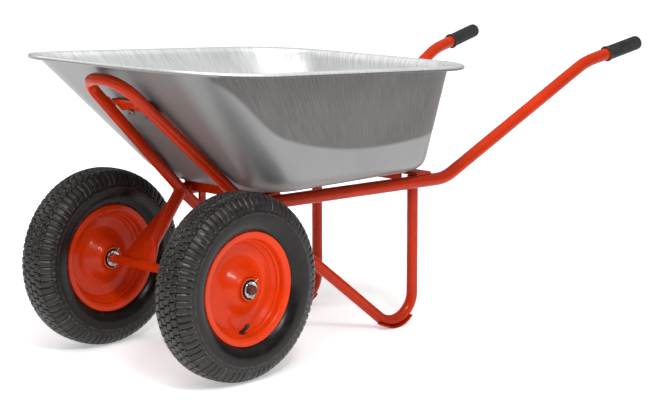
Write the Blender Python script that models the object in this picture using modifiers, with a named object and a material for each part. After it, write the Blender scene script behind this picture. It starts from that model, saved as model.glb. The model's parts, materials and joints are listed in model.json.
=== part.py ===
"""Two-wheeled builder's wheelbarrow: a deep steel tray on a welded tube frame, with two pneumatic wheels.

Lengths are in metres, +Z is up and +X runs from the nose to the handles. The drawing's own X is
measured from the wheel axle, and one empty moves the whole barrow so that the origin is on the
ground, under the middle of its length. The left side is -Y, as seen by the person who pushes it.
"""
import math

import bmesh
import bpy
from mathutils import Matrix, Vector

# Overall
AXLE_TO_MIDDLE = 0.5600
TOUCH_GAP = 0.0003
WELD_GAP = 0.002
HOLE_SEGMENTS = 12
CUT_REACH = 0.020
SIDES = {"left": -1, "right": 1}

# Wheels: a radius, and a distance along the axle from the wheel's middle plane, outboard positive
WHEEL_R = 0.195
WHEEL_Y = 0.219
TYRE_HALF_WIDTH = 0.0495
TURN_STEPS = 28
SMALL_STEPS = 16
TYRE_OUTER = [
    (0.1950, 0.0000),
    (0.1940, 0.0190),
    (0.1890, 0.0335),
    (0.1780, 0.0442),
    (0.1540, TYRE_HALF_WIDTH),
    (0.1370, 0.0475),
    (0.1250, 0.0410),
    (0.1172, 0.0308),
    (0.1060, 0.0300),
    (0.1038, 0.0265),
]
TYRE_INNER = [
    (0.1036, 0.0190),
    (0.1130, 0.0190),
    (0.1300, 0.0325),
    (0.1570, 0.0410),
    (0.1750, 0.0340),
    (0.1840, 0.0000),
]
INNER_TUBE_STEPS = 16
INNER_TUBE_PROFILE = [
    (0.1810, 0.0000),
    (0.1735, 0.0285),
    (0.1560, 0.0380),
    (0.1320, 0.0305),
    (0.1145, 0.0170),
    (0.1040, 0.0155),
    (0.0955, 0.0060),
    (0.0945, 0.0000),
]
INNER_TUBE_WALL = 0.002
RIM_SHEET = 0.002
RIM_PROFILE = [
    (0.1176, 0.0338),
    (0.1065, 0.0330),
    (0.1020, 0.0295),
    (0.1004, 0.0185),
    (0.0920, 0.0060),
    (0.0870, 0.00115),
    (0.0640, 0.00115),
    (0.0510, 0.0070),
    (0.0370, 0.0210),
    (0.0272, 0.0290),
    (0.0258, 0.0345),
]
HUB_HALF = 0.038
HUB_R = 0.0245
HUB_BORE_R = 0.0190
BEARING_R = 0.0210
BEARING_WIDTH = 0.012
VALVE_ANGLE = math.radians(-91)
VALVE_SEAT = (0.0952, 0.0113)
VALVE_R = 0.0040
VALVE_INSIDE = 0.008
VALVE_OUTSIDE = 0.021
VALVE_CAP_LENGTH = 0.009
VALVE_CAP_R = 0.0046
VALVE_EDGE = 0.0008
VALVE_HOLE_REACH = 0.012
VALVE_HOLE_GAP = 0.001

# Axle
AXLE_R = 0.0100
AXLE_BEYOND_WHEEL = 0.0490
WASHER_R = 0.0170
WASHER_THICKNESS = 0.0025
PIN_R = 0.0018
PIN_FROM_WHEEL = 0.0445
PIN_REACH = 0.003
PIN_TOE = Vector((-0.007, 0, -0.002))
PIN_BEND_RADIUS = 0.0028
AXLE_CHAMFER = 0.0012

# Rails: straight tubes that spread towards the handles and bend up twice
RAIL_R = 0.0144
RAIL_WALL = 0.0015
RAIL_Z = 0.334
RAIL_START_X = 0.150
RAIL_KNEE_X = 0.6727
RAIL_WRIST_X = 1.1275
HANDLE_SLOPE = 0.5184
GRIP_SLOPE = 0.200
HANDLE_END_X = 1.310
RAIL_SPREAD = 0.1155
RAIL_SPREAD_X = 1.110
RAIL_SPREAD_Y = 0.2394
KNEE_RADIUS = 0.105
WRIST_RADIUS = 0.200
RAIL_BEND_STEP = math.radians(7)
GRIP_R = 0.0172
GRIP_WALL = 0.0019
GRIP_LENGTH = 0.116
GRIP_COLLAR_R = 0.0192
GRIP_COLLAR_LENGTH = 0.005
GRIP_ROUND_END = 0.005
GRIP_STEPS = 20

# Hoop and legs: one size of tube, inside the rails
LEG_R = 0.0125
LEG_WALL = 0.0015
CROSSING_Z = 0.330
CROSSING_X = 0.1390
CROSSING_Y = 0.0979
HOOP_RUN = 1.069
HOOP_SPREAD = 0.133
HOOP_CORNER_Z = 0.6130
HOOP_RADIUS = 0.0550
LEG_SLOPE = 0.8232
LEG_X = 0.603
LEG_Y = 0.1533
FOOT_RADIUS = 0.0606
LEG_TOP_Z = 0.345
SKID_THICKNESS = 0.0025
SKID_WIDTH = 0.021
SKID_FROM = math.radians(-126)
SKID_TO = math.radians(-46)
SKID_STEPS = 10

# Wheel struts: tubes with flattened feet. Gusset outlines are (distance from the middle, height up the strut)
STRUT_R = 0.0140
STRUT_TOP = Vector((0.1215, 0.0950, 0.3370))
STRUT_BEND = Vector((0.0250, 0.0785, 0.2355))
STRUT_FOOT = Vector((0.0, 0.0640, 0.1980))
STRUT_FLAT_HALF_WIDTH = 0.0210
STRUT_FLAT_HALF_THICKNESS = 0.0036
STRUT_SEGMENTS = 16
STRUT_FLATTENING = [(0.0, 1.0), (0.018, 1.0), (0.034, 0.80), (0.046, 0.45), (0.058, 0.15), (0.070, 0.0)]
GUSSET_THICKNESS = 0.004
GUSSET_OUTLINE = [
    (0.0868, 0.004),
    (0.1550, 0.004),
    (0.1130, 0.158),
    (0.1066, 0.158),
    (0.0964, 0.068),
    (0.0962, 0.045),
    (0.0914, 0.018),
]
STAY_WIDTH = 0.018
STAY_THICKNESS = 0.005
STAY_X = 0.194

# Crossmembers: flat bars across the rails, under the tray
CROSS_THICKNESS = 0.0054
CROSS_LIP = 0.016
CROSS_LIP_THICKNESS = 0.004
FRONT_CROSS_X = 0.186
FRONT_CROSS_WIDTH = 0.034
FRONT_CROSS_HALF = 0.135
FRONT_LIP_HALF = 0.108
REAR_CROSS_X = 0.607
REAR_CROSS_WIDTH = 0.046
REAR_CROSS_HALF = 0.184
REAR_LIP_HALF = 0.134

# Tray: outlines at the rim, at the top of the walls and where the walls meet the bottom
SHEET = 0.0015
RIM_PLANE = (0.6350, -0.0490, 0.13)
BOTTOM_PLANE = (RAIL_Z + RAIL_R + CROSS_THICKNESS + 2 * TOUCH_GAP, 0.0, 0.0)
RIM_OUTLINE = {"front": -0.174, "rear": 0.648, "half": 0.345, "front_r": 0.185, "rear_r": 0.155}
WALL_OUTLINE = {"front": -0.1515, "rear": 0.620, "half": 0.314, "front_r": 0.130, "rear_r": 0.135}
FLOOR_OUTLINE = {"front": 0.1310, "rear": 0.616, "half": 0.214, "front_r": 0.085, "rear_r": 0.080}
FLAT_OUTLINE = {"front": 0.172, "rear": 0.607, "half": 0.112, "front_r": 0.050, "rear_r": 0.050}
RIM_BOW = 0.012
RIM_LIP = 0.004
CORNER_STEPS = 6
EDGE_STEPS = 3
RIM_ROLL_START = 0.72
SHOULDER_DROP = 0.05
SHOULDER_SHARPNESS = 0.35
WALL_MIDDLE = 0.45
FLOOR_BEND_START = 0.84
FLOOR_BEND_STEPS = (0.25, 0.50, 0.75)

# Tray bolts
BOLT_R = 0.0040
BOLT_HEAD_R = 0.0095
BOLT_HEAD_HEIGHT = 0.0035
BOLT_DOME = [(0.0, 1.0), (0.55, 0.80), (0.90, 0.35), (1.0, 0.0)]
BOLT_LENGTH = 0.020
NUT_ACROSS_CORNERS_R = 0.0075
NUT_HEIGHT = 0.0065
FRONT_BOLT_Y = 0.050
REAR_BOLT_X = 0.5965
REAR_BOLT_Y = 0.050

# Brace bar behind the hoop, against the tray's front wall
BRACE_Z = 0.550
BRACE_HEIGHT = 0.036
BRACE_HALF_WIDTH = 0.069
BRACE_THICKNESS = 0.005
BRACE_BOLT_Y = 0.026
BRACE_BOLT_DROP = 0.008
BRACE_JOG = 0.0020
BRACE_JOG_FROM = 0.056
BRACE_JOG_TO = 0.046

# Paint and material colours: colour, roughness, metallic
FINISHES = {
    "red_paint": ((0.62, 0.050, 0.012), 0.30, 0.0),
    "galvanised_steel": ((0.56, 0.57, 0.57), 0.42, 1.0),
    "tyre_rubber": ((0.028, 0.027, 0.027), 0.78, 0.0),
    "tube_rubber": ((0.020, 0.020, 0.022), 0.60, 0.0),
    "grip_rubber": ((0.035, 0.035, 0.036), 0.65, 0.0),
    "bearing_steel": ((0.50, 0.50, 0.52), 0.25, 1.0),
    "zinc_plate": ((0.66, 0.65, 0.60), 0.30, 1.0),
    "valve_rubber": ((0.018, 0.018, 0.018), 0.50, 0.0),
}


# ---------------------------------------------------------------- scene and objects
def clear_scene():
    for obj in list(bpy.data.objects):
        bpy.data.objects.remove(obj, do_unlink=True)


def make_collection(name):
    collection = bpy.data.collections.new(name)
    bpy.context.scene.collection.children.link(collection)
    return collection


def make_material(name, finish):
    colour, roughness, metallic = FINISHES[finish]
    material = bpy.data.materials.new(name)
    material.use_nodes = True
    shader = material.node_tree.nodes["Principled BSDF"]
    shader.inputs["Base Color"].default_value = (*colour, 1.0)
    shader.inputs["Roughness"].default_value = roughness
    shader.inputs["Metallic"].default_value = metallic
    return material


clear_scene()
BARROW = make_collection("wheelbarrow")
CUTTERS = make_collection("cutters")
ORIGIN = bpy.data.objects.new("ground_origin", None)
ORIGIN.location = (-AXLE_TO_MIDDLE, 0, 0)
BARROW.objects.link(ORIGIN)


def add_part(name, data, finish, location=(0, 0, 0), rotation=None, parent=None):
    """Adds a mesh or curve as a named part of the barrow with its own material."""
    obj = bpy.data.objects.new(name, data)
    BARROW.objects.link(obj)
    obj.parent = parent or ORIGIN
    obj.location = location
    if rotation is not None:
        obj.rotation_mode = "QUATERNION"
        obj.rotation_quaternion = rotation
    data.materials.append(make_material(name, finish))
    return obj


def smooth(obj, angle=math.radians(35)):
    obj.data.shade_smooth()
    obj.data.set_sharp_from_angle(angle=angle)


def as_mesh(obj, finish):
    """Replaces a curve object by the mesh it evaluates to, with its caps welded on."""
    bpy.context.view_layer.update()
    depsgraph = bpy.context.evaluated_depsgraph_get()
    mesh = bpy.data.meshes.new_from_object(obj.evaluated_get(depsgraph))
    form = bmesh.new()
    form.from_mesh(mesh)
    bmesh.ops.remove_doubles(form, verts=form.verts, dist=0.00002)
    bmesh.ops.recalc_face_normals(form, faces=form.faces)
    form.to_mesh(mesh)
    form.free()
    name, parent, matrix = obj.name, obj.parent, obj.matrix_world.copy()
    collection = obj.users_collection[0]
    bpy.data.objects.remove(obj, do_unlink=True)
    solid = bpy.data.objects.new(name, mesh)
    collection.objects.link(solid)
    solid.parent = parent
    solid.matrix_world = matrix
    mesh.materials.clear()
    mesh.materials.append(make_material(name, finish))
    return solid


def solidify(obj, thickness, offset=-1.0):
    shell = obj.modifiers.new("sheet", "SOLIDIFY")
    shell.thickness = thickness
    shell.offset = offset
    shell.use_even_offset = True
    shell.use_rim = True


def cut(obj, cutter):
    """Takes the cutter's volume out of the part."""
    difference = obj.modifiers.new("cut", "BOOLEAN")
    difference.operation = "DIFFERENCE"
    difference.solver = "EXACT"
    difference.object = cutter


def add_cutter(name, mesh, matrix):
    obj = bpy.data.objects.new(name, mesh)
    CUTTERS.objects.link(obj)
    obj.parent = ORIGIN
    obj.matrix_parent_inverse = Matrix.Identity(4)
    obj.matrix_basis = matrix
    obj.hide_render = True
    obj.display_type = "WIRE"
    return obj


# ---------------------------------------------------------------- shapes
def along(start, end):
    """A frame at the middle of a line whose local Z runs from its start to its end."""
    turn = (end - start).to_track_quat("Z", "Y").to_matrix().to_4x4()
    return Matrix.Translation((start + end) / 2) @ turn


def rod_cutter(name, start, end, radius, segments=24):
    mesh = bpy.data.meshes.new(name)
    form = bmesh.new()
    bmesh.ops.create_cone(
        form, cap_ends=True, segments=segments, radius1=radius, radius2=radius, depth=(end - start).length
    )
    form.to_mesh(mesh)
    form.free()
    return add_cutter(name, mesh, along(start, end))


def box_cutter(name, middle, size):
    mesh = bpy.data.meshes.new(name)
    form = bmesh.new()
    bmesh.ops.create_cube(form, size=1.0, matrix=Matrix.Diagonal((*size, 1.0)))
    form.to_mesh(mesh)
    form.free()
    return add_cutter(name, mesh, Matrix.Translation(middle))


def fillet(corners, radii, turn_step=math.radians(15)):
    """A polyline through the corners, with each inner corner rounded to its radius."""
    points = [corners[0]]
    for before, corner, after, radius in zip(corners, corners[1:], corners[2:], radii):
        arm_in = (before - corner).normalized()
        arm_out = (after - corner).normalized()
        turn = math.pi - arm_in.angle(arm_out)
        reach = radius * math.tan(turn / 2)
        start = corner + arm_in * reach
        middle = corner + (arm_in + arm_out).normalized() * (radius / math.cos(turn / 2))
        axis = (start - middle).cross(-arm_in).normalized()
        steps = max(2, math.ceil(turn / turn_step))
        for step in range(steps + 1):
            turned = Matrix.Rotation(turn * step / steps, 3, axis) @ (start - middle)
            points.append(middle + turned)
    points.append(corners[-1])
    return points


def polyline(name, points, closed=False):
    curve = bpy.data.curves.new(name, "CURVE")
    curve.dimensions = "3D"
    spline = curve.splines.new("POLY")
    spline.points.add(len(points) - 1)
    for point, place in zip(spline.points, points):
        point.co = (*place, 1.0)
    spline.use_cyclic_u = closed
    return curve


def add_tube(name, points, radius, wall, finish, round_steps=4):
    """A bent tube with open ends: a bevelled curve, then its wall inwards."""
    curve = polyline(name, points)
    curve.bevel_depth = radius
    curve.bevel_resolution = round_steps
    tube = as_mesh(add_part(name, curve, finish), finish)
    solidify(tube, wall)
    smooth(tube)
    return tube


def add_turned(name, profile, finish, location, outboard, parent=None, steps=TURN_STEPS, closed=True):
    """Turns a profile of (radius, distance along the axis) about the wheel axis."""
    mesh = bpy.data.meshes.new(name)
    form = bmesh.new()
    corners = [form.verts.new((radius, 0, height)) for radius, height in profile]
    pairs = list(zip(corners, corners[1:]))
    if closed:
        pairs.append((corners[-1], corners[0]))
    for first, second in pairs:
        form.edges.new((first, second))
    form.to_mesh(mesh)
    form.free()
    tilt = Vector((0, outboard, 0)).to_track_quat("Z", "X")
    part = add_part(name, mesh, finish, location, tilt, parent)
    screw = part.modifiers.new("turn", "SCREW")
    screw.steps = steps
    screw.render_steps = steps
    screw.use_merge_vertices = True
    screw.merge_threshold = 0.00001
    screw.use_smooth_shade = True
    return part


def ring_profile(inner, outer, low, high):
    """A plain ring, drawn down its outer side and back up its inner side."""
    return [(outer, high), (outer, low), (inner, low), (inner, high)]


def add_plate(name, outlines, thickness, finish, matrix):
    """A flat plate from closed 2D outlines, where a second outline inside the first is a hole."""
    curve = bpy.data.curves.new(name, "CURVE")
    curve.dimensions = "2D"
    curve.fill_mode = "BOTH"
    curve.extrude = thickness / 2
    for outline in outlines:
        spline = curve.splines.new("POLY")
        spline.points.add(len(outline) - 1)
        for point, (across, up) in zip(spline.points, outline):
            point.co = (across, up, 0.0, 1.0)
        spline.use_cyclic_u = True
    obj = add_part(name, curve, finish)
    obj.matrix_basis = matrix
    return as_mesh(obj, finish)


def circle(radius, segments):
    turn = 2 * math.pi / segments
    return [(radius * math.cos(turn * i), radius * math.sin(turn * i)) for i in range(segments)]


def frame_at(place, across, up):
    """A frame with local X along across and local Y as near to up as it can be."""
    across = across.normalized()
    normal = across.cross(up).normalized()
    up = normal.cross(across)
    matrix = Matrix((across, up, normal)).transposed().to_4x4()
    return Matrix.Translation(place) @ matrix


# ---------------------------------------------------------------- rails and grips
def rail_y(x):
    return RAIL_SPREAD_Y + RAIL_SPREAD * (x - RAIL_SPREAD_X)


def rail_point(x, z, side):
    return Vector((x, side * rail_y(x), z))


def rail_corners(side):
    wrist_z = RAIL_Z + HANDLE_SLOPE * (RAIL_WRIST_X - RAIL_KNEE_X)
    end_z = wrist_z + GRIP_SLOPE * (HANDLE_END_X - RAIL_WRIST_X)
    return [
        rail_point(RAIL_START_X, RAIL_Z, side),
        rail_point(RAIL_KNEE_X, RAIL_Z, side),
        rail_point(RAIL_WRIST_X, wrist_z, side),
        rail_point(HANDLE_END_X, end_z, side),
    ]


def build_rail(label, side):
    corners = rail_corners(side)
    path = fillet(corners, [KNEE_RADIUS, WRIST_RADIUS], RAIL_BEND_STEP)
    add_tube(f"{label}_rail", path, RAIL_R, RAIL_WALL, "red_paint", round_steps=5)


def build_grip(label, side):
    """A moulded sleeve with a collar at its open end and a closed, rounded far end."""
    corners = rail_corners(side)
    direction = (corners[3] - corners[2]).normalized()
    tip = corners[3] + direction * (2 * TOUCH_GAP + GRIP_WALL)
    hollow_r = RAIL_R + TOUCH_GAP
    sleeve_end = GRIP_WALL + TOUCH_GAP
    collar = -GRIP_LENGTH + GRIP_COLLAR_LENGTH
    profile = [
        (0.0, 0.0),
        (GRIP_R - 0.8 * GRIP_ROUND_END, 0.0),
        (GRIP_R - 0.25 * GRIP_ROUND_END, -0.3 * GRIP_ROUND_END),
        (GRIP_R, -GRIP_ROUND_END),
        (GRIP_R, collar + GRIP_COLLAR_R - GRIP_R),
        (GRIP_COLLAR_R, collar),
        (GRIP_COLLAR_R, -GRIP_LENGTH),
        (hollow_r, -GRIP_LENGTH),
        (hollow_r, -sleeve_end),
        (0.0, -sleeve_end),
    ]
    grip = add_turned(f"{label}_grip", profile, "grip_rubber", tip, 1, steps=GRIP_STEPS, closed=False)
    grip.rotation_quaternion = direction.to_track_quat("Z", "X")


# ---------------------------------------------------------------- hoop, legs and skids
def hoop_point(z, side):
    rise = z - CROSSING_Z
    return Vector((CROSSING_X - HOOP_RUN * rise, side * (CROSSING_Y - HOOP_SPREAD * rise), z))


def build_hoop():
    corners = [
        hoop_point(CROSSING_Z, -1),
        hoop_point(HOOP_CORNER_Z, -1),
        hoop_point(HOOP_CORNER_Z, 1),
        hoop_point(CROSSING_Z, 1),
    ]
    path = fillet(corners, [HOOP_RADIUS, HOOP_RADIUS])
    add_tube("front_hoop", path, LEG_R, LEG_WALL, "red_paint")


def leg_corners(side):
    """The leg starts a weld gap below the hoop's end, dips to the foot and rises to the rail."""
    start = Vector((CROSSING_X, side * CROSSING_Y, CROSSING_Z))
    dip_z = CROSSING_Z - LEG_SLOPE * (LEG_X - CROSSING_X)
    dip = Vector((LEG_X, side * LEG_Y, dip_z))
    top = Vector((LEG_X, side * LEG_Y, LEG_TOP_Z))
    return [start + (dip - start).normalized() * WELD_GAP, dip, top]


def build_leg(label, side):
    path = fillet(leg_corners(side), [FOOT_RADIUS])
    add_tube(f"{label}_leg", path, LEG_R, LEG_WALL, "red_paint")


def build_skid(label, side):
    """A curved steel strip under the foot bend, with one of its facets flat on the ground."""
    middle_x = LEG_X - FOOT_RADIUS
    inner_r = FOOT_RADIUS + LEG_R + 3 * TOUCH_GAP
    outer_r = inner_r + SKID_THICKNESS
    step = (SKID_TO - SKID_FROM) / SKID_STEPS
    middle_z = outer_r * math.cos(step / 2)
    angles = [SKID_FROM + step * i for i in range(SKID_STEPS + 1)]
    outer = [(outer_r * math.cos(a), outer_r * math.sin(a)) for a in angles]
    inner = [(inner_r * math.cos(a), inner_r * math.sin(a)) for a in reversed(angles)]
    place = Vector((middle_x, side * LEG_Y, middle_z))
    matrix = frame_at(place, Vector((1, 0, 0)), Vector((0, 0, 1)))
    add_plate(f"{label}_skid", [outer + inner], SKID_WIDTH, "red_paint", matrix)


# ---------------------------------------------------------------- axle, struts, gussets and stays
def sided(point, side):
    return Vector((point.x, side * point.y, point.z))


def build_axle():
    half = WHEEL_Y + AXLE_BEYOND_WHEEL
    profile = [
        (0.0, half),
        (AXLE_R - AXLE_CHAMFER, half),
        (AXLE_R, half - AXLE_CHAMFER),
        (AXLE_R, -half + AXLE_CHAMFER),
        (AXLE_R - AXLE_CHAMFER, -half),
        (0.0, -half),
    ]
    axle = add_turned("axle", profile, "red_paint", (0, 0, WHEEL_R), 1, steps=SMALL_STEPS, closed=False)
    for label, side in SIDES.items():
        for place, offset in (("outer", PIN_FROM_WHEEL), ("inner", -PIN_FROM_WHEEL)):
            middle = Vector((0, side * (WHEEL_Y + offset), WHEEL_R))
            reach = Vector((0.0, 0.0, CUT_REACH))
            name = f"{label}_{place}_pin_hole"
            cut(axle, rod_cutter(name, middle - reach, middle + reach, PIN_R + TOUCH_GAP, HOLE_SEGMENTS))


def build_pin(label, place, side, offset):
    """A split pin through the axle, with its head up and its legs bent outwards."""
    y = side * (WHEEL_Y + offset)
    top = Vector((0, y, WHEEL_R + AXLE_R + PIN_REACH))
    low = Vector((0, y, WHEEL_R - AXLE_R - PIN_REACH))
    path = fillet([top, low, low + PIN_TOE], [PIN_BEND_RADIUS], math.radians(30))
    curve = polyline(f"{label}_{place}_split_pin", path)
    curve.bevel_depth = PIN_R
    curve.bevel_resolution = 2
    curve.use_fill_caps = True
    pin = as_mesh(add_part(curve.name, curve, "zinc_plate"), "zinc_plate")
    smooth(pin)


def strut_ring(place, direction, flat):
    """A section of the strut, which goes from round to flat as flat goes from 0 to 1."""
    across = (Vector((0, 1, 0)) - direction * direction.y).normalized()
    depth = direction.cross(across)
    half_width = STRUT_R + (STRUT_FLAT_HALF_WIDTH - STRUT_R) * flat
    half_depth = STRUT_R + (STRUT_FLAT_HALF_THICKNESS - STRUT_R) * flat
    points = []
    for step in range(STRUT_SEGMENTS):
        angle = 2 * math.pi * (step + 0.5) / STRUT_SEGMENTS
        centre = math.copysign(half_width - half_depth, math.cos(angle))
        sideways = centre + half_depth * math.cos(angle)
        points.append(place + across * sideways + depth * half_depth * math.sin(angle))
    return points


def strut_sections(side):
    """The strut's sections from its flattened foot, past the bend, to its top."""
    foot, bend, top = (sided(point, side) for point in (STRUT_FOOT, STRUT_BEND, STRUT_TOP))
    lower, upper = (bend - foot).normalized(), (top - bend).normalized()
    bend_at = (bend - foot).length
    sections = []
    for distance, flat in STRUT_FLATTENING:
        past = distance - bend_at
        place = foot + lower * distance if past < 0 else bend + upper * past
        turned = min(1.0, max(0.0, distance / (2 * bend_at)))
        sections.append(strut_ring(place, lower.lerp(upper, turned).normalized(), flat))
    sections.append(strut_ring(top, upper, 0.0))
    return sections


def axle_cutter(name, side):
    """The axle's own space, from the middle of the barrow to the wheel."""
    start = Vector((0, 0, WHEEL_R))
    end = Vector((0, side * WHEEL_Y, WHEEL_R))
    return rod_cutter(name, start, end, AXLE_R + TOUCH_GAP)


def build_strut(label, side):
    """A tube from the hoop's end down to the axle, pressed flat at its foot and coped at both ends."""
    name = f"{label}_strut"
    mesh = bpy.data.meshes.new(name)
    form = bmesh.new()
    rings = [[form.verts.new(point) for point in section] for section in strut_sections(side)]
    for lower, upper in zip(rings, rings[1:]):
        for i in range(STRUT_SEGMENTS):
            j = (i + 1) % STRUT_SEGMENTS
            form.faces.new((lower[i], lower[j], upper[j], upper[i]))
    form.to_mesh(mesh)
    form.free()
    strut = add_part(name, mesh, "red_paint")
    solidify(strut, LEG_WALL)
    smooth(strut)
    hoop_top = hoop_point(HOOP_CORNER_Z, side)
    hoop_foot = hoop_point(CROSSING_Z - CUT_REACH, side)
    cut(strut, rod_cutter(f"{name}_hoop_cope", hoop_top, hoop_foot, LEG_R + TOUCH_GAP))
    start, dip, _ = leg_corners(side)
    leg_top = start - (dip - start).normalized() * CUT_REACH
    cut(strut, rod_cutter(f"{name}_leg_cope", leg_top, start.lerp(dip, 0.5), LEG_R + TOUCH_GAP))
    cut(strut, axle_cutter(f"{name}_axle_cope", side))


def build_gusset(label, side):
    """A web between the strut's outer side and the axle."""
    up = Vector((STRUT_TOP.x, 0, STRUT_TOP.z - WHEEL_R))
    matrix = frame_at(Vector((0, 0, WHEEL_R)), Vector((0, side, 0)), up)
    plate = add_plate(f"{label}_gusset", [GUSSET_OUTLINE], GUSSET_THICKNESS, "red_paint", matrix)
    cut(plate, axle_cutter(f"{label}_gusset_axle", side))


def build_stay(label, side):
    """A short upright bar between the front crossmember and the leg."""
    start, dip, _ = leg_corners(side)
    part_way = (STAY_X - start.x) / (dip.x - start.x)
    on_leg = start.lerp(dip, part_way)
    height = RAIL_Z + RAIL_R - on_leg.z
    half = STAY_WIDTH / 2
    outline = [(-half, 0), (half, 0), (half, height), (-half, height)]
    matrix = frame_at(on_leg, Vector((1, 0, 0)), Vector((0, 0, 1)))
    stay = add_plate(f"{label}_stay", [outline], STAY_THICKNESS, "red_paint", matrix)
    cut(stay, rod_cutter(f"{label}_stay_cope", start, start.lerp(dip, 0.5), LEG_R + TOUCH_GAP))


# ---------------------------------------------------------------- crossmembers
def build_crossmember(name, x, width, half, lip_half, bolt_x, bolt_y):
    """An angle bar that lies across the rails under the tray, with its lip down between them."""
    low = RAIL_Z + RAIL_R + TOUCH_GAP
    side = width / 2
    inner = -side + CROSS_LIP_THICKNESS
    outline = [
        (-side, -CROSS_LIP),
        (inner, -CROSS_LIP),
        (inner, 0),
        (side, 0),
        (side, CROSS_THICKNESS),
        (-side, CROSS_THICKNESS),
    ]
    matrix = frame_at(Vector((x, 0, low)), Vector((1, 0, 0)), Vector((0, 0, 1)))
    bar = add_plate(name, [outline], 2 * half, "red_paint", matrix)
    for label, bolt_side in SIDES.items():
        bolt_place = Vector((bolt_x, bolt_side * bolt_y, low))
        reach = Vector((0, 0, CUT_REACH))
        hole = (bolt_place - reach, bolt_place + reach)
        cut(bar, rod_cutter(f"{name}_{label}_hole", *hole, BOLT_R + TOUCH_GAP, HOLE_SEGMENTS))
        notch_size = Vector((2 * width, half, 2 * CROSS_LIP))
        notch_middle = Vector((x, bolt_side * (lip_half + half / 2), low - CROSS_LIP))
        cut(bar, box_cutter(f"{name}_{label}_notch", notch_middle, notch_size))


# ---------------------------------------------------------------- tray
def plane_z(plane, x):
    """Height on a plane that slopes along the barrow and curves up ahead of the axle."""
    height, slope, nose_rise = plane
    return height + slope * x + nose_rise * min(0.0, x) ** 2


def half_outline(shape, bow):
    """Points on the +Y half of a rounded, slightly bowed rectangle, from the nose to the tail."""
    front, rear, half = shape["front"], shape["rear"], shape["half"]
    front_r, rear_r = shape["front_r"], shape["rear_r"]
    points = []
    for step in range(EDGE_STEPS):
        y = (half - front_r) * (step + 0.5) / EDGE_STEPS
        points.append((front, y))
    for step in range(CORNER_STEPS + 1):
        turn = math.pi / 2 * step / CORNER_STEPS
        points.append((front + front_r - front_r * math.cos(turn), half - front_r + front_r * math.sin(turn)))
    for step in range(1, EDGE_STEPS + 1):
        x = front + front_r + (rear - rear_r - front - front_r) * step / (EDGE_STEPS + 1)
        points.append((x, half))
    for step in range(CORNER_STEPS + 1):
        turn = math.pi / 2 * step / CORNER_STEPS
        points.append((rear - rear_r + rear_r * math.sin(turn), half - rear_r + rear_r * math.cos(turn)))
    for step in reversed(range(EDGE_STEPS)):
        y = (half - rear_r) * (step + 0.5) / EDGE_STEPS
        points.append((rear, y))
    middle = (front + rear) / 2
    bowed = []
    for x, y in points:
        push = bow * (1 - (y / half) ** 2)
        bowed.append((x - push if x < middle else x + push, y))
    return bowed


def full_ring(shape, bow, plane, drop=0.0):
    half = half_outline(shape, bow)
    mirrored = [(x, -y) for x, y in reversed(half)]
    return [Vector((x, y, plane_z(plane, x) - drop)) for x, y in half + mirrored]


def bezier(start, control, end, t):
    return start * (1 - t) ** 2 + control * 2 * t * (1 - t) + end * t**2


def tray_rings():
    """Rings of points from the rim's turned-down lip to the edge of the flat bottom."""
    rim = full_ring(RIM_OUTLINE, RIM_BOW, RIM_PLANE)
    lip = full_ring(RIM_OUTLINE, RIM_BOW, RIM_PLANE, RIM_LIP)
    wall = full_ring(WALL_OUTLINE, RIM_BOW, RIM_PLANE)
    floor = full_ring(FLOOR_OUTLINE, 0.0, BOTTOM_PLANE)
    flat = full_ring(FLAT_OUTLINE, 0.0, BOTTOM_PLANE)
    rings = [lip, rim]
    rings.append([a.lerp(b, RIM_ROLL_START) for a, b in zip(rim, wall)])
    shoulder = [a.lerp(b, SHOULDER_DROP) for a, b in zip(wall, floor)]
    rings.append([a.lerp(b, SHOULDER_SHARPNESS) for a, b in zip(wall, shoulder)])
    rings.append(shoulder)
    rings.append([a.lerp(b, WALL_MIDDLE) for a, b in zip(wall, floor)])
    knee = [a.lerp(b, FLOOR_BEND_START) for a, b in zip(wall, floor)]
    rings.append(knee)
    for t in FLOOR_BEND_STEPS:
        rings.append([bezier(a, b, c, t) for a, b, c in zip(knee, floor, flat)])
    rings.append(flat)
    return rings


def build_tray():
    mesh = bpy.data.meshes.new("tray")
    form = bmesh.new()
    rings = [[form.verts.new(point) for point in ring] for ring in tray_rings()]
    for upper, lower in zip(rings, rings[1:]):
        count = len(upper)
        for i in range(count):
            j = (i + 1) % count
            form.faces.new((upper[i], upper[j], lower[j], lower[i]))
    form.faces.new(rings[-1])
    bmesh.ops.recalc_face_normals(form, faces=form.faces)
    form.faces.ensure_lookup_table()
    if form.faces[-1].normal.z > 0:
        bmesh.ops.reverse_faces(form, faces=form.faces)
    form.to_mesh(mesh)
    form.free()
    tray = add_part("tray", mesh, "galvanised_steel")
    solidify(tray, SHEET)
    smooth(tray, math.radians(50))
    for name, place, normal, _ in bolt_places():
        hole = (place - normal * CUT_REACH, place + normal * CUT_REACH)
        cut(tray, rod_cutter(f"{name}_tray_hole", *hole, BOLT_R + TOUCH_GAP, HOLE_SEGMENTS))


def front_wall(y, z):
    """A point on the outside of the tray's front wall, and the wall's outward normal."""
    top_x = WALL_OUTLINE["front"] - RIM_BOW
    top = Vector((top_x, y, plane_z(RIM_PLANE, top_x)))
    fall = Vector((FLOOR_OUTLINE["front"], y, BOTTOM_PLANE[0])) - top
    place = top + fall * ((z - top.z) / fall.z)
    return place, Vector((fall.z, 0, -fall.x)).normalized()


# ---------------------------------------------------------------- bolts and brace bar
def hoop_normal():
    """Unit vector square to the hoop's plane, pointing forwards and down, away from the tray."""
    up_slope = Vector((-HOOP_RUN, 0, 1))
    return up_slope.cross(Vector((0, 1, 0))).normalized()


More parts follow.
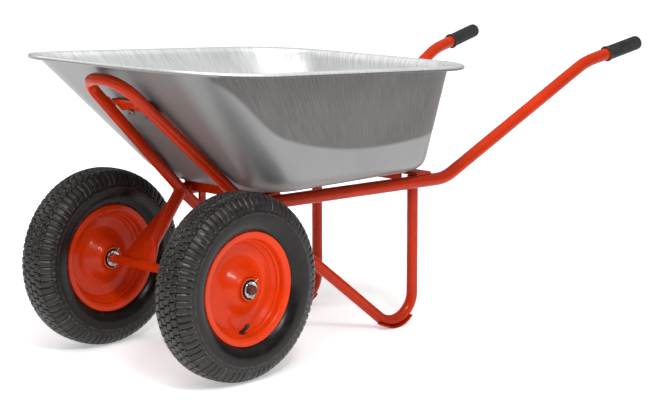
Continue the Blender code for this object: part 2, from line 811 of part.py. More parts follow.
def bolt_places():
    """Each bolt's name, its place on the tray's outside, its direction and the distance to its nut."""
    places = []
    down = Vector((0, 0, -1))
    through_bar = CROSS_THICKNESS + 3 * TOUCH_GAP
    through_brace = BRACE_THICKNESS + 3 * TOUCH_GAP
    for label, side in SIDES.items():
        front = Vector((FRONT_CROSS_X, side * FRONT_BOLT_Y, BOTTOM_PLANE[0]))
        rear = Vector((REAR_BOLT_X, side * REAR_BOLT_Y, BOTTOM_PLANE[0]))
        brace, normal = front_wall(side * BRACE_BOLT_Y, BRACE_Z - BRACE_BOLT_DROP)
        places.append((f"{label}_front", front, down, through_bar))
        places.append((f"{label}_rear", rear, down, through_bar))
        places.append((f"{label}_brace", brace, normal, through_brace))
    return places


def build_bolt(name, place, direction):
    """A coach bolt with its domed head inside the tray."""
    dome = [(BOLT_HEAD_R * across, BOLT_HEAD_HEIGHT * up) for across, up in BOLT_DOME]
    profile = dome + [(BOLT_R, 0.0), (BOLT_R, -BOLT_LENGTH), (0.0, -BOLT_LENGTH)]
    seat = place - direction * (SHEET + TOUCH_GAP)
    bolt = add_turned(f"{name}_bolt", profile, "zinc_plate", seat, 1, steps=12, closed=False)
    bolt.rotation_quaternion = (-direction).to_track_quat("Z", "X")


def build_nut(name, place, direction):
    across = Vector((0, 1, 0))
    matrix = frame_at(place + direction * (NUT_HEIGHT / 2), across, direction.cross(across))
    outlines = [circle(NUT_ACROSS_CORNERS_R, 6), circle(BOLT_R + TOUCH_GAP, HOLE_SEGMENTS)]
    add_plate(f"{name}_nut", outlines, NUT_HEIGHT, "zinc_plate", matrix)


def build_tray_bolts():
    for name, place, direction, to_nut in bolt_places():
        build_bolt(name, place, direction)
        build_nut(name, place + direction * to_nut, direction)


def build_brace():
    """A bar across the back of the hoop, joggled against the tray's front wall and drilled for two bolts."""
    ahead = hoop_normal()
    behind = LEG_R + TOUCH_GAP + BRACE_THICKNESS / 2
    hoop_z = BRACE_Z + ahead.z * behind
    middle = (hoop_point(hoop_z, 1) + hoop_point(hoop_z, -1)) / 2 - ahead * behind
    across = Vector((0, 1, 0))
    half_section = [(BRACE_HALF_WIDTH, 0.0), (BRACE_JOG_FROM, 0.0), (BRACE_JOG_TO, BRACE_JOG)]
    section = half_section + [(-y, depth) for y, depth in reversed(half_section)]
    outline = [(y, depth - BRACE_THICKNESS / 2) for y, depth in section]
    outline += [(y, depth + BRACE_THICKNESS / 2) for y, depth in reversed(section)]
    matrix = frame_at(middle, across, -ahead)
    brace = add_plate("hoop_brace", [outline], BRACE_HEIGHT, "red_paint", matrix)
    for label, side in SIDES.items():
        seat, normal = front_wall(side * BRACE_BOLT_Y, BRACE_Z - BRACE_BOLT_DROP)
        hole = (seat, seat + normal * CUT_REACH)
        cut(brace, rod_cutter(f"{label}_brace_hole", *hole, BOLT_R + TOUCH_GAP, HOLE_SEGMENTS))


# ---------------------------------------------------------------- wheels
def tyre_profile():
    outer = list(reversed(TYRE_OUTER)) + [(r, -h) for r, h in TYRE_OUTER[1:]]
    inner = [(r, -h) for r, h in TYRE_INNER[:-1]] + [TYRE_INNER[-1]] + list(reversed(TYRE_INNER[:-1]))
    return outer + inner


def tube_profile():
    upper = list(reversed(INNER_TUBE_PROFILE[:-1]))
    lower = [(r, -h) for r, h in INNER_TUBE_PROFILE[1:]]
    return upper + lower


def wheel_point(side, angle, radius, out):
    """A point of a wheel, by its angle about the axle, radius and distance outboard."""
    x = radius * math.cos(angle)
    z = WHEEL_R + radius * math.sin(angle)
    return Vector((x, side * (WHEEL_Y + out), z))


def valve_line(side, distance):
    """A point on the valve's axis, at a distance outwards from its seat in the rim."""
    lean = math.sqrt(0.5)
    return wheel_point(side, VALVE_ANGLE, VALVE_SEAT[0] - lean * distance, VALVE_SEAT[1] + lean * distance)


def build_valve(label, side, wheel):
    start = valve_line(side, -VALVE_INSIDE)
    cap_start = valve_line(side, VALVE_OUTSIDE)
    cap_end = valve_line(side, VALVE_OUTSIDE + VALVE_CAP_LENGTH)
    parts = (
        (f"{label}_valve_stem", start, cap_start, VALVE_R),
        (f"{label}_valve_cap", valve_line(side, VALVE_OUTSIDE + TOUCH_GAP), cap_end, VALVE_CAP_R),
    )
    for name, low, high, radius in parts:
        length = (high - low).length
        profile = [
            (0.0, length / 2),
            (radius - VALVE_EDGE, length / 2),
            (radius, length / 2 - VALVE_EDGE),
            (radius, -length / 2),
            (0.0, -length / 2),
        ]
        middle = (low + high) / 2 - Vector((0, side * WHEEL_Y, WHEEL_R))
        part = add_turned(name, profile, "valve_rubber", middle, 1, wheel, HOLE_SEGMENTS, closed=False)
        part.rotation_quaternion = (high - low).to_track_quat("Z", "X")


def build_wheel(label, side):
    wheel = bpy.data.objects.new(f"{label}_wheel_axis", None)
    BARROW.objects.link(wheel)
    wheel.parent = ORIGIN
    wheel.location = (0, side * WHEEL_Y, WHEEL_R)
    here = (0, 0, 0)

    def turned(name, profile, finish, facing, steps=TURN_STEPS, closed=True):
        return add_turned(f"{label}_{name}", profile, finish, here, facing, wheel, steps, closed)

    turned("tyre", tyre_profile(), "tyre_rubber", side)
    hole = (valve_line(side, -VALVE_HOLE_REACH), valve_line(side, VALVE_HOLE_REACH))
    tube = turned("inner_tube", tube_profile(), "tube_rubber", side, steps=INNER_TUBE_STEPS)
    solidify(tube, INNER_TUBE_WALL)
    cut(tube, rod_cutter(f"{label}_tube_valve_hole", *hole, VALVE_R + TOUCH_GAP, HOLE_SEGMENTS))
    outer_rim = turned("outer_rim", RIM_PROFILE, "red_paint", side, closed=False)
    solidify(outer_rim, RIM_SHEET, 0.0)
    cut(outer_rim, rod_cutter(f"{label}_rim_valve_hole", *hole, VALVE_R + VALVE_HOLE_GAP, HOLE_SEGMENTS))
    inner_rim = turned("inner_rim", RIM_PROFILE, "red_paint", -side, closed=False)
    solidify(inner_rim, RIM_SHEET, 0.0)
    seat = HUB_HALF - BEARING_WIDTH
    seat_r = BEARING_R + TOUCH_GAP
    hub = [
        (HUB_R, HUB_HALF),
        (HUB_R, -HUB_HALF),
        (seat_r, -HUB_HALF),
        (seat_r, -seat),
        (HUB_BORE_R, -seat),
        (HUB_BORE_R, seat),
        (seat_r, seat),
        (seat_r, HUB_HALF),
    ]
    turned("hub", hub, "red_paint", side, steps=SMALL_STEPS)
    bearing_low = seat + TOUCH_GAP
    bearing = ring_profile(AXLE_R + TOUCH_GAP, BEARING_R, bearing_low, HUB_HALF - TOUCH_GAP)
    turned("outer_bearing", bearing, "bearing_steel", side, steps=SMALL_STEPS)
    turned("inner_bearing", bearing, "bearing_steel", -side, steps=SMALL_STEPS)
    build_valve(label, side, wheel)


def build_axle_washers(label, side):
    low = HUB_HALF + 2 * TOUCH_GAP
    profile = ring_profile(AXLE_R + TOUCH_GAP, WASHER_R, low, low + WASHER_THICKNESS)
    middle = (0, side * WHEEL_Y, WHEEL_R)
    add_turned(f"{label}_outer_washer", profile, "zinc_plate", middle, side, steps=SMALL_STEPS)
    add_turned(f"{label}_inner_washer", profile, "zinc_plate", middle, -side, steps=SMALL_STEPS)


def build_barrow():
    build_tray()
    build_hoop()
    build_brace()
    build_axle()
    build_crossmember(
        "front_crossmember",
        FRONT_CROSS_X,
        FRONT_CROSS_WIDTH,
        FRONT_CROSS_HALF,
        FRONT_LIP_HALF,
        FRONT_CROSS_X,
        FRONT_BOLT_Y,
    )
    build_crossmember(
        "rear_crossmember",
        REAR_CROSS_X,
        REAR_CROSS_WIDTH,
        REAR_CROSS_HALF,
        REAR_LIP_HALF,
        REAR_BOLT_X,
        REAR_BOLT_Y,
    )
    for label, side in SIDES.items():
        build_rail(label, side)
        build_grip(label, side)
        build_leg(label, side)
        build_skid(label, side)
        build_strut(label, side)
        build_gusset(label, side)
        build_stay(label, side)
        build_wheel(label, side)
        build_axle_washers(label, side)
        build_pin(label, "outer", side, PIN_FROM_WHEEL)
        build_pin(label, "inner", side, -PIN_FROM_WHEEL)
    build_tray_bolts()


build_barrow()
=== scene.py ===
"""Looks of the wheelbarrow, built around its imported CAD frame.

Metres, +Z up, +X from the nose to the handles.
"""

import json
import math

import bmesh
import bpy
import numpy as np
from mathutils import Matrix, Vector, noise


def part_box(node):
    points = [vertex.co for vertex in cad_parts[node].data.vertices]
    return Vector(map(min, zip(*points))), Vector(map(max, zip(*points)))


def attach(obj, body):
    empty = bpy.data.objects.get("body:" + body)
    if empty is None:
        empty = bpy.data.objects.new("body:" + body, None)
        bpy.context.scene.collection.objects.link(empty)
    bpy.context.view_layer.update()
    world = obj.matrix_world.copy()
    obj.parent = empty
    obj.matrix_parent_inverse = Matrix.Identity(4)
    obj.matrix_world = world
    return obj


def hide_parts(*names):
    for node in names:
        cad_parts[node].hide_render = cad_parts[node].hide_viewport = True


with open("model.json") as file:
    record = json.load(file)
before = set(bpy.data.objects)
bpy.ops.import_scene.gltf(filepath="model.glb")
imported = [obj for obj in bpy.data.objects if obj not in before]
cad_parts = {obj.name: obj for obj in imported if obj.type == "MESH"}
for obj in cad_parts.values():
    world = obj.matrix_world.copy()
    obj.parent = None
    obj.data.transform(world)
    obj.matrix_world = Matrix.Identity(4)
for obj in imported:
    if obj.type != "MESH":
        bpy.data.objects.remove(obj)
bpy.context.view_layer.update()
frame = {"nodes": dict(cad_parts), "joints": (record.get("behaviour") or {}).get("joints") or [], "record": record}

# X in the constants runs from the axle, as in the CAD
AXLE_X = frame["joints"][0]["pos_m"][0]
WHEEL_R = frame["joints"][0]["pos_m"][2]
WHEEL_Y = abs(frame["joints"][0]["pos_m"][1])
SIDES = {"left": -1, "right": 1}
UP = np.array([0.0, 0.0, 1.0])

# Rails, which are also the handles
RAIL_R = 0.0144
RAIL_Z = 0.334
RAIL_START_X = 0.150
RAIL_KNEE_X = 0.6727
RAIL_WRIST_X = 1.1275
HANDLE_SLOPE = 0.5184
GRIP_SLOPE = 0.200
HANDLE_END_X = 1.310
RAIL_SPREAD = 0.1155
RAIL_SPREAD_X = 1.110
RAIL_SPREAD_Y = 0.2394
KNEE_RADIUS = 0.105
WRIST_RADIUS = 0.200

# Hoop and legs, one bent tube
LEG_R = 0.0125
CROSSING_Z = 0.330
CROSSING_X = 0.1390
CROSSING_Y = 0.0979
CROSSING_RADIUS = 0.08
HOOP_RUN = 1.069
HOOP_SPREAD = 0.133
HOOP_CORNER_Z = 0.6130
HOOP_RADIUS = 0.0550
LEG_SLOPE = 0.8232
LEG_X = 0.603
LEG_Y = 0.1533
FOOT_RADIUS = 0.0606
LEG_TOP_Z = 0.345
BRACE_REACH = 0.061

# Struts and axle
STRUT_R = 0.0140
STRUT_TOP = (0.1215, 0.0950, 0.3370)
STRUT_BEND = (0.0250, 0.0785, 0.2355)
STRUT_FOOT = (0.0, 0.0640, 0.1980)
STRUT_FLAT_HALF_WIDTH = 0.0210
STRUT_FLAT_HALF_THICKNESS = 0.0036
AXLE_R = 0.0100
AXLE_BEYOND_WHEEL = 0.0490
PIN_FROM_WHEEL = 0.0445
HUB_HALF = 0.038

# Tube surface
TUBE_SEGMENTS = 40
TUBE_WALL = 0.0015
TUBE_EDGE = 0.0005
TUBE_DEPTH = 0.03
TUBE_RIPPLE = 0.02


def at(x, y, z):
    """A place in the row frame, from a place measured from the axle."""
    return Vector((x + AXLE_X, y, z))


# --- materials
class Shade:
    """A material built around one Principled shader."""

    def __init__(self, name, **settings):
        self.material = bpy.data.materials.new(name)
        self.material.use_nodes = True
        self.nodes = self.material.node_tree.nodes
        self.links = self.material.node_tree.links
        self.shader = self.nodes["Principled BSDF"]
        for socket, value in settings.items():
            self.shader.inputs[socket.replace("_", " ")].default_value = value
        self.place = self.nodes.new("ShaderNodeTexCoord").outputs["Object"]

    def plug(self, source, target):
        if isinstance(source, bpy.types.NodeSocket):
            self.links.new(source, target)
        else:
            target.default_value = source

    def add(self, kind, inputs=(), output=0, **settings):
        node = self.nodes.new(kind)
        for name, value in settings.items():
            setattr(node, name, value)
        for key, source in dict(inputs).items():
            self.plug(source, node.inputs[key])
        return node.outputs[output]

    def math(self, operation, first, second=0.0, third=0.0):
        return self.add("ShaderNodeMath", {0: first, 1: second, 2: third}, operation=operation)

    def times(self, first, second):
        return self.math("MULTIPLY", first, second)

    def plus(self, first, second):
        return self.math("ADD", first, second)

    def noise(self, scale, detail=2.0, vector=None, roughness=0.5):
        inputs = {"Vector": vector or self.place, "Scale": scale}
        inputs.update({"Detail": detail, "Roughness": roughness})
        return self.add("ShaderNodeTexNoise", inputs)

    def attribute(self, name):
        return self.add("ShaderNodeAttribute", output=2, attribute_name=name)

    def remap(self, value, low, high, to_low=0.0, to_high=1.0):
        inputs = {0: value, 1: low, 2: high, 3: to_low, 4: to_high}
        return self.add("ShaderNodeMapRange", inputs, interpolation_type="SMOOTHSTEP")

    def fade(self, value, low, high):
        """1 up to the low value, 0 from the high one."""
        return self.remap(value, low, high, 1.0, 0.0)

    def mix(self, factor, first, second):
        tones = ((*tone, 1.0) if isinstance(tone, tuple) else tone for tone in (first, second))
        inputs = dict(zip((0, 6, 7), (factor, *tones)))
        return self.add("ShaderNodeMix", inputs, 2, data_type="RGBA")

    def split(self, vector):
        node = self.nodes.new("ShaderNodeSeparateXYZ")
        self.links.new(vector, node.inputs[0])
        return node.outputs

    def bump(self, height, distance, strength=1.0, normal=None):
        inputs = {"Distance": distance, "Strength": strength, "Height": height}
        if normal is not None:
            inputs["Normal"] = normal
        return self.add("ShaderNodeBump", inputs)

    def finish(self, colour, roughness, normal):
        self.plug(colour, self.shader.inputs["Base Color"])
        self.plug(roughness, self.shader.inputs["Roughness"])
        self.plug(normal, self.shader.inputs["Normal"])
        return self.material


def wheel_radius(s):
    """Distance from the wheels' common axis."""
    x, _, z = s.split(s.place)
    x = s.math("SUBTRACT", x, AXLE_X)
    z = s.math("SUBTRACT", z, WHEEL_R)
    return s.math("SQRT", s.plus(s.times(x, x), s.times(z, z)))


# Enamel: darker and brighter tones, specks and painted shade on the axle's ends
TUBE_RED = ((0.38, 0.019, 0.0014), (0.47, 0.024, 0.0018))
DISC_RED = ((0.58, 0.034, 0.0020), (0.68, 0.042, 0.0024))
SPECK_RED = (0.36, 0.020, 0.005)
AXLE_END_PAINTED_SHADE = (0.085, 0.020, 0.014)
# Where each change of the enamel starts and ends
DISC_EDGE_R = (0.1195, 0.1200)
DISC_BACK_Y = (0.165, 0.170)
# Where the painted shade on the discs' inner faces fades out, and how much disc tone it keeps
INNER_DISC_SHADE_Y = (0.215, 0.223)
INNER_DISC_SHARE_IN_PAINTED_SHADE = 0.5
AXLE_END_R = (0.0102, 0.0106)
AXLE_END_Y = (0.256, 0.26)
STEPS_START_R = (0.084, 0.087)
STEPS_END_R = (0.1, 0.103)


def make_red_paint():
    """Gloss orange-red enamel, brighter on the wheels' discs and ringed at their steps, with painted shade on the
    discs' inner faces and the axle's ends.
    """
    s = Shade("red_paint", Specular_IOR_Level=0.10, Coat_Weight=0.14, Coat_Roughness=0.06)
    thin = s.remap(s.noise(9.0, 3.0), 0.35, 0.68)
    radius = wheel_radius(s)
    across = s.math("ABSOLUTE", s.split(s.place)[1])
    disc = s.times(s.fade(radius, *DISC_EDGE_R), s.remap(across, *DISC_BACK_Y))
    # The discs' inner faces keep only half of the brighter disc tone: painted shade.
    disc = s.times(disc, s.remap(across, *INNER_DISC_SHADE_Y, INNER_DISC_SHARE_IN_PAINTED_SHADE, 1.0))
    colour = s.mix(disc, s.mix(thin, *TUBE_RED), s.mix(thin, *DISC_RED))
    # The axle's ends are painted dark brown: painted shade.
    shaded_axle_end = s.times(s.fade(radius, *AXLE_END_R), s.remap(across, *AXLE_END_Y))
    colour = s.mix(shaded_axle_end, colour, AXLE_END_PAINTED_SHADE)
    specks = s.remap(s.noise(520.0, 1.0), 0.70, 0.78)
    colour = s.mix(s.times(specks, 0.35), colour, SPECK_RED)
    roughness = s.remap(s.noise(42.0, 3.0), 0.3, 0.7, 0.22, 0.34)
    stepped = s.times(s.remap(radius, *STEPS_START_R), s.fade(radius, *STEPS_END_R))
    rings = s.times(s.math("SINE", s.times(radius, 1500.0)), s.times(stepped, disc))
    sag = s.bump(s.noise(60.0, 2.0), 0.0006, 0.30, s.bump(rings, 0.0006, 0.6))
    return s.finish(colour, roughness, s.bump(s.noise(520.0, 1.0), 0.00012, 0.30, sag))


# The drawn zone's lower border, above which the walls are also painted darker as a reflection: lowest point,
# curves, steps (start, end, rise) to the nose
ZONE_LOW_X = -0.17
ZONE_LOW_Z = 0.442
ZONE_CURVE_AHEAD = 0.55
ZONE_CURVE_BEHIND = 0.41
ZONE_STEPS = ((0.46, 0.65, 0.047), (0.66, 0.73, 0.06))
ZONE_BORDER = (-0.004, 0.006)
# Steel: outside of the pan, darker above the border as a painted reflection, then inside, brighter as painted
# light
PLAIN_STEEL = (0.225, 0.225, 0.225)
DRAWN_STEEL_PAINTED_REFLECTION = (0.070, 0.068, 0.065)
STREAK_STEEL = (0.150, 0.146, 0.142)
CLOUD_STEEL = (0.150, 0.150, 0.150)
INSIDE_STEEL_PAINTED_LIGHT = ((0.60, 0.605, 0.61), (0.90, 0.905, 0.905))
INSIDE_CLOUD_PAINTED_LIGHT = (0.60, 0.60, 0.605)


def drawn_and_reflection_zone(s):
    """1 on the walls above the border that the deep drawing left, where they are also painted darker as a
    reflection, 0 below it.
    """
    x, _, z = s.split(s.place)
    from_low = s.plus(x, -ZONE_LOW_X)
    ahead = s.math("MINIMUM", from_low, 0.0)
    behind = s.math("MAXIMUM", from_low, 0.0)
    border = s.plus(s.times(s.times(ahead, ahead), ZONE_CURVE_AHEAD), ZONE_LOW_Z)
    border = s.plus(s.times(s.times(behind, behind), ZONE_CURVE_BEHIND), border)
    forward = s.times(x, -1.0)
    for start, end, rise in ZONE_STEPS:
        border = s.plus(border, s.remap(forward, start, end, 0.0, rise))
    return s.remap(s.math("SUBTRACT", z, border), *ZONE_BORDER)


def make_tray_steel():
    """Galvanised deep-drawn sheet: drawing marks and a darker painted reflection on the upper walls, and painted
    light that makes the inside brighter.
    """
    s = Shade("tray_steel")
    down = s.times(s.attribute("down"), 0.035)
    grain = s.add("ShaderNodeCombineXYZ", {0: s.attribute("around"), 1: down, 2: 0.0})
    fine = s.noise(300.0, 4.0, grain, 0.7)
    broad = s.noise(60.0, 2.0, grain)
    cloud = s.noise(7.0, 3.0)
    drawn = drawn_and_reflection_zone(s)
    normal = s.nodes.new("ShaderNodeTexCoord").outputs["Normal"]
    # Faces that look up, inside the pan, get a much brighter steel: painted light.
    inside = s.remap(s.split(normal)[2], -0.05, 0.15)
    streaks = s.times(s.remap(fine, 0.35, 0.75), s.times(drawn, 0.7))
    # Above the border the walls are painted darker, a painted reflection of dark surroundings; the streaks are the
    # drawing marks.
    wall = s.mix(streaks, s.mix(drawn, PLAIN_STEEL, DRAWN_STEEL_PAINTED_REFLECTION), STREAK_STEEL)
    wall = s.mix(s.times(s.remap(cloud, 0.35, 0.7), 0.25), wall, CLOUD_STEEL)
    bright = s.mix(s.remap(fine, 0.3, 0.7), *INSIDE_STEEL_PAINTED_LIGHT)
    bright = s.mix(s.times(s.remap(cloud, 0.4, 0.65), 0.4), bright, INSIDE_CLOUD_PAINTED_LIGHT)
    s.plug(s.remap(inside, 0.0, 1.0, 0.45, 0.75), s.shader.inputs["Metallic"])
    roughness = s.plus(s.remap(drawn, 0.0, 1.0, 0.30, 0.40), s.times(fine, 0.10))
    relief = s.plus(s.times(fine, 0.5), s.times(broad, 0.8))
    marks = s.bump(s.times(relief, s.remap(drawn, 0.0, 1.0, 0.35, 1.0)), 0.0006, 0.55)
    spangle = s.add("ShaderNodeTexVoronoi", {"Vector": s.place, "Scale": 160.0})
    colour = s.mix(inside, wall, bright)
    return s.finish(colour, roughness, s.bump(spangle, 0.00010, 0.25, marks))


SIDEWALL_BLACK = ((0.0050, 0.0038, 0.0034), (0.0120, 0.0100, 0.0092))
TREAD_GREY = (0.0270, 0.0250, 0.0240)
PAINTED_HIGHLIGHT_GREY = (0.105, 0.098, 0.092)
GROOVE_PAINTED_SHADE = (0.0020, 0.0017, 0.0016)
TREAD_START_R = (0.15, 0.172)


def make_tyre_rubber():
    """Dusty matt tread, and a smoother sidewall with fine moulded rings."""
    s = Shade("tyre_rubber", Specular_IOR_Level=0.24)
    radius = wheel_radius(s)
    tread = s.remap(radius, *TREAD_START_R)
    dust = s.remap(s.noise(38.0, 4.0), 0.40, 0.72)
    colour = s.mix(s.times(dust, 0.6), *SIDEWALL_BLACK)
    colour = s.mix(s.times(tread, 0.7), colour, TREAD_GREY)
    # Lighter grey on the block edges and sidewall rings: painted highlight.
    highlit = s.times(s.attribute("wear"), s.remap(s.noise(120.0, 2.0), 0.3, 0.6))
    colour = s.mix(highlit, colour, PAINTED_HIGHLIGHT_GREY)
    # The groove bottoms are painted near black: painted shade.
    colour = s.mix(s.attribute("groove"), colour, GROOVE_PAINTED_SHADE)
    roughness = s.plus(s.remap(tread, 0.0, 1.0, 0.20, 0.28), s.times(dust, 0.14))
    rings = s.times(s.math("SINE", s.times(radius, 2600.0)), s.math("SUBTRACT", 1.0, tread))
    lines = s.bump(rings, 0.00012, 0.25)
    return s.finish(colour, roughness, s.bump(s.noise(900.0, 2.0), 0.00025, 0.5, lines))


def make_rubber(name, dark, light, roughness):
    """Matt moulded rubber with a fine grain."""
    s = Shade(name, Specular_IOR_Level=0.3)
    cloud = s.remap(s.noise(55.0, 3.0), 0.35, 0.7)
    rough = s.plus(s.times(cloud, 0.12), roughness)
    grain = s.bump(s.noise(1100.0, 2.0), 0.0002, 0.45)
    return s.finish(s.mix(cloud, dark, light), rough, grain)


def make_metal(name, dark, light, roughness):
    """Bright plated steel with tool marks and dull patches."""
    s = Shade(name, Metallic=1.0)
    patch = s.remap(s.noise(160.0, 3.0), 0.35, 0.70)
    stretch = {0: s.place, 1: (1.0, 9.0, 1.0)}
    place = s.add("ShaderNodeVectorMath", stretch, operation="MULTIPLY")
    scratch = s.noise(700.0, 2.0, place)
    rough = s.plus(s.times(patch, 0.18), roughness)
    return s.finish(s.mix(patch, dark, light), rough, s.bump(scratch, 0.00010, 0.35))


# The outer race is bright only at its very edge: the rest of it has painted shade.
OUTER_RACE_R = (0.0207, 0.0209)
INNER_RACE_R = (0.0131, 0.0135)
RACE_STEEL = ((0.36, 0.36, 0.37), (0.62, 0.62, 0.63))
SEAL_BLACK_AND_PAINTED_SHADE = ((0.010, 0.010, 0.011), (0.024, 0.023, 0.023))


def make_bearing_steel():
    """Ball bearing face: bright races with a dark seal between them; the outer race is dark up to its very edge,
    as painted shade.
    """
    s = Shade("bearing_steel", Metallic=0.9)
    radius = wheel_radius(s)
    race = s.math("MAXIMUM", s.remap(radius, *OUTER_RACE_R), s.fade(radius, *INNER_RACE_R))
    smear = s.noise(300.0, 3.0)
    colour = s.mix(race, s.mix(smear, *SEAL_BLACK_AND_PAINTED_SHADE), s.mix(smear, *RACE_STEEL))
    return s.finish(colour, s.remap(race, 0.0, 1.0, 0.55, 0.24), s.bump(smear, 0.0001, 0.3))


GRIP_BLACK = ((0.012, 0.012, 0.013), (0.022, 0.022, 0.022))
TUBE_BLACK = ((0.016, 0.016, 0.017), (0.028, 0.028, 0.029))
VALVE_BLACK = ((0.012, 0.012, 0.012), (0.022, 0.022, 0.022))
ZINC = ((0.30, 0.295, 0.29), (0.50, 0.49, 0.47))

MATERIALS = {
    "red_paint": make_red_paint(),
    "tray_steel": make_tray_steel(),
    "tyre_rubber": make_tyre_rubber(),
    "tube_rubber": make_rubber("tube_rubber", *TUBE_BLACK, 0.48),
    "grip_rubber": make_rubber("grip_rubber", *GRIP_BLACK, 0.42),
    "valve_rubber": make_rubber("valve_rubber", *VALVE_BLACK, 0.38),
    "zinc_plate": make_metal("zinc_plate", *ZINC, 0.20),
    "bearing_steel": make_bearing_steel(),
}


# --- meshes
def place_object(name, data):
    obj = bpy.data.objects.new(name, data)
    bpy.context.scene.collection.objects.link(obj)
    return obj


def add_piece(name, mesh, slot, nodes, sharp):
    """Adds a finished mesh that stands for CAD nodes and moves with their body."""
    obj = place_object(name, mesh)
    mesh.materials.clear()
    mesh.materials.append(MATERIALS[slot])
    mesh.shade_smooth()
    if sharp is not None:
        mesh.set_sharp_from_angle(angle=math.radians(sharp))
    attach(obj, body_of(nodes[0]) if nodes else "frame")
    if nodes:
        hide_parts(*nodes)


def grid_mesh(name, grid, wrap_rows=False, caps=False):
    """A mesh over rows of points, with caps on its ends if asked for."""
    grid = np.asarray(grid, float)
    rows, columns = grid.shape[:2]
    index = np.arange(rows * columns).reshape(rows, columns)
    low = index if wrap_rows else index[:-1]
    high = np.roll(index, -1, 0) if wrap_rows else index[1:]
    quads = (low, np.roll(low, -1, 1), np.roll(high, -1, 1), high)
    faces = np.stack(quads, -1).reshape(-1, 4).tolist()
    if caps:
        faces.append(index[0, ::-1].tolist())
        faces.append(index[-1].tolist())
    mesh = bpy.data.meshes.new(name)
    mesh.from_pydata(grid.reshape(-1, 3).tolist(), [], faces)
    form = bmesh.new()
    form.from_mesh(mesh)
    bmesh.ops.recalc_face_normals(form, faces=form.faces)
    form.to_mesh(mesh)
    form.free()
    return mesh


def join_meshes(name, meshes):
    """One mesh made of several, which are removed."""
    form = bmesh.new()
    for mesh in meshes:
        form.from_mesh(mesh)
        bpy.data.meshes.remove(mesh)
    joined = bpy.data.meshes.new(name)
    form.to_mesh(joined)
    form.free()
    return joined


def fillet(corners, radii, step=math.radians(3)):
    """A polyline through corners, the inner ones rounded to their radii."""
    points = [corners[0]]
    for before, corner, after, radius in zip(corners, corners[1:], corners[2:], radii):
        arm_in = (before - corner).normalized()
        arm_out = (after - corner).normalized()
        turn = math.pi - arm_in.angle(arm_out)
        start = corner + arm_in * (radius * math.tan(turn / 2))
        middle = corner + (arm_in + arm_out).normalized() * (radius / math.cos(turn / 2))
        axis = (start - middle).cross(-arm_in).normalized()
        steps = max(4, math.ceil(turn / step))
        for i in range(steps + 1):
            points.append(middle + Matrix.Rotation(turn * i / steps, 3, axis) @ (start - middle))
    points.append(corners[-1])
    return points


def spaced(path, step):
    """The path with points added, none further apart than the step."""
    points = [path[0]]
    for start, end in zip(path, path[1:]):
        count = max(1, math.ceil((end - start).length / step))
        points.extend(start.lerp(end, (i + 1) / count) for i in range(count))
    return points


def frames(path):
    """Tangent, side and up at each point of a path, without twist."""
    tangents = []
    for i in range(len(path)):
        tangents.append((path[min(i + 1, len(path) - 1)] - path[max(i - 1, 0)]).normalized())
    side = tangents[0].orthogonal().normalized()
    result = []
    for tangent in tangents:
        side = (side - tangent * side.dot(tangent)).normalized()
        result.append((tangent, side, tangent.cross(side)))
    return result


def sweep(path, radii, segments=TUBE_SEGMENTS):
    """Rings of points around a path, one radius for each point."""
    turns = np.arange(segments) * 2 * math.pi / segments
    rings = []
    for point, (_, side, up), radius in zip(path, frames(path), radii):
        spokes = np.outer(np.cos(turns), side) + np.outer(np.sin(turns), up)
        rings.append(np.array(point) + radius * spokes)
    return rings


def tube_mesh(name, path, radius):
    """A slightly uneven tube with open, rounded ends."""
    path = spaced(path, 0.02)
    outer = sweep(path, [radius] * len(path))
    for ring, point in zip(outer, path):
        away = ring - np.array(point)
        lump = np.array([noise.noise(Vector(p) * 55.0) for p in ring])
        ring += away * (lump * TUBE_RIPPLE)[:, None]
    inner = radius - TUBE_WALL
    lip = (
        (TUBE_DEPTH, inner), (TUBE_EDGE, inner), (0.0, inner + TUBE_EDGE),
        (0.0, radius - TUBE_EDGE), (TUBE_EDGE, radius),
    )

    def end_rings(ring, point, following):
        spokes = ring - np.array(point)
        inward = (following - point).normalized()
        return [np.array(point + inward * far) + spokes * (size / radius) for far, size in lip]

    head = end_rings(outer[0], path[0], path[1])
    tail = end_rings(outer[-1], path[-1], path[-2])
    return grid_mesh(name, head + outer[1:-1] + tail[::-1], caps=True)


def smooth_profile(points, parts=4):
    """Catmull-Rom curve through the points of a profile."""
    p = np.array(points, float)
    p = np.vstack([2 * p[0] - p[1], p, 2 * p[-1] - p[-2]])
    result = []
    for i in range(1, len(p) - 2):
        a, b, c, d = p[i - 1 : i + 3]
        square = 2 * a - 5 * b + 4 * c - d
        cube = 3 * b - a - 3 * c + d
        for t in np.arange(parts) / parts:
            result.append(0.5 * (2 * b + (c - a) * t + square * t**2 + cube * t**3))
    result.append(p[-2])
    return np.array(result)


def profile_normals(profile):
    """Unit normals of a profile, on its outer side."""
    tangent = np.gradient(profile, axis=0)
    tangent /= np.linalg.norm(tangent, axis=1)[:, None]
    return np.stack([tangent[:, 1], -tangent[:, 0]], 1)


def arc_lengths(points):
    """Distance along a polyline to each of its points."""
    steps = np.linalg.norm(np.diff(points, axis=0), axis=1)
    return np.concatenate([[0], np.cumsum(steps)])


def set_attribute(mesh, name, values):
    data = mesh.attributes.new(name, "FLOAT", "POINT").data
    data.foreach_set("value", values.astype(np.float32).ravel())


def lathe(name, profile, middle, outboard, steps=96, closed=True):
    """Turns a profile of (radius, distance outboard) about the wheel axis through a point."""
    profile = np.asarray(profile, float)
    turns = np.arange(steps) * 2 * math.pi / steps
    grid = np.empty((len(profile), steps, 3))
    grid[..., 0] = middle[0] + np.outer(profile[:, 0], np.cos(turns))
    grid[..., 1] = middle[1] + outboard * profile[:, 1][:, None]
    grid[..., 2] = middle[2] + np.outer(profile[:, 0], np.sin(turns))
    return grid_mesh(name, grid, wrap_rows=closed, caps=not closed)


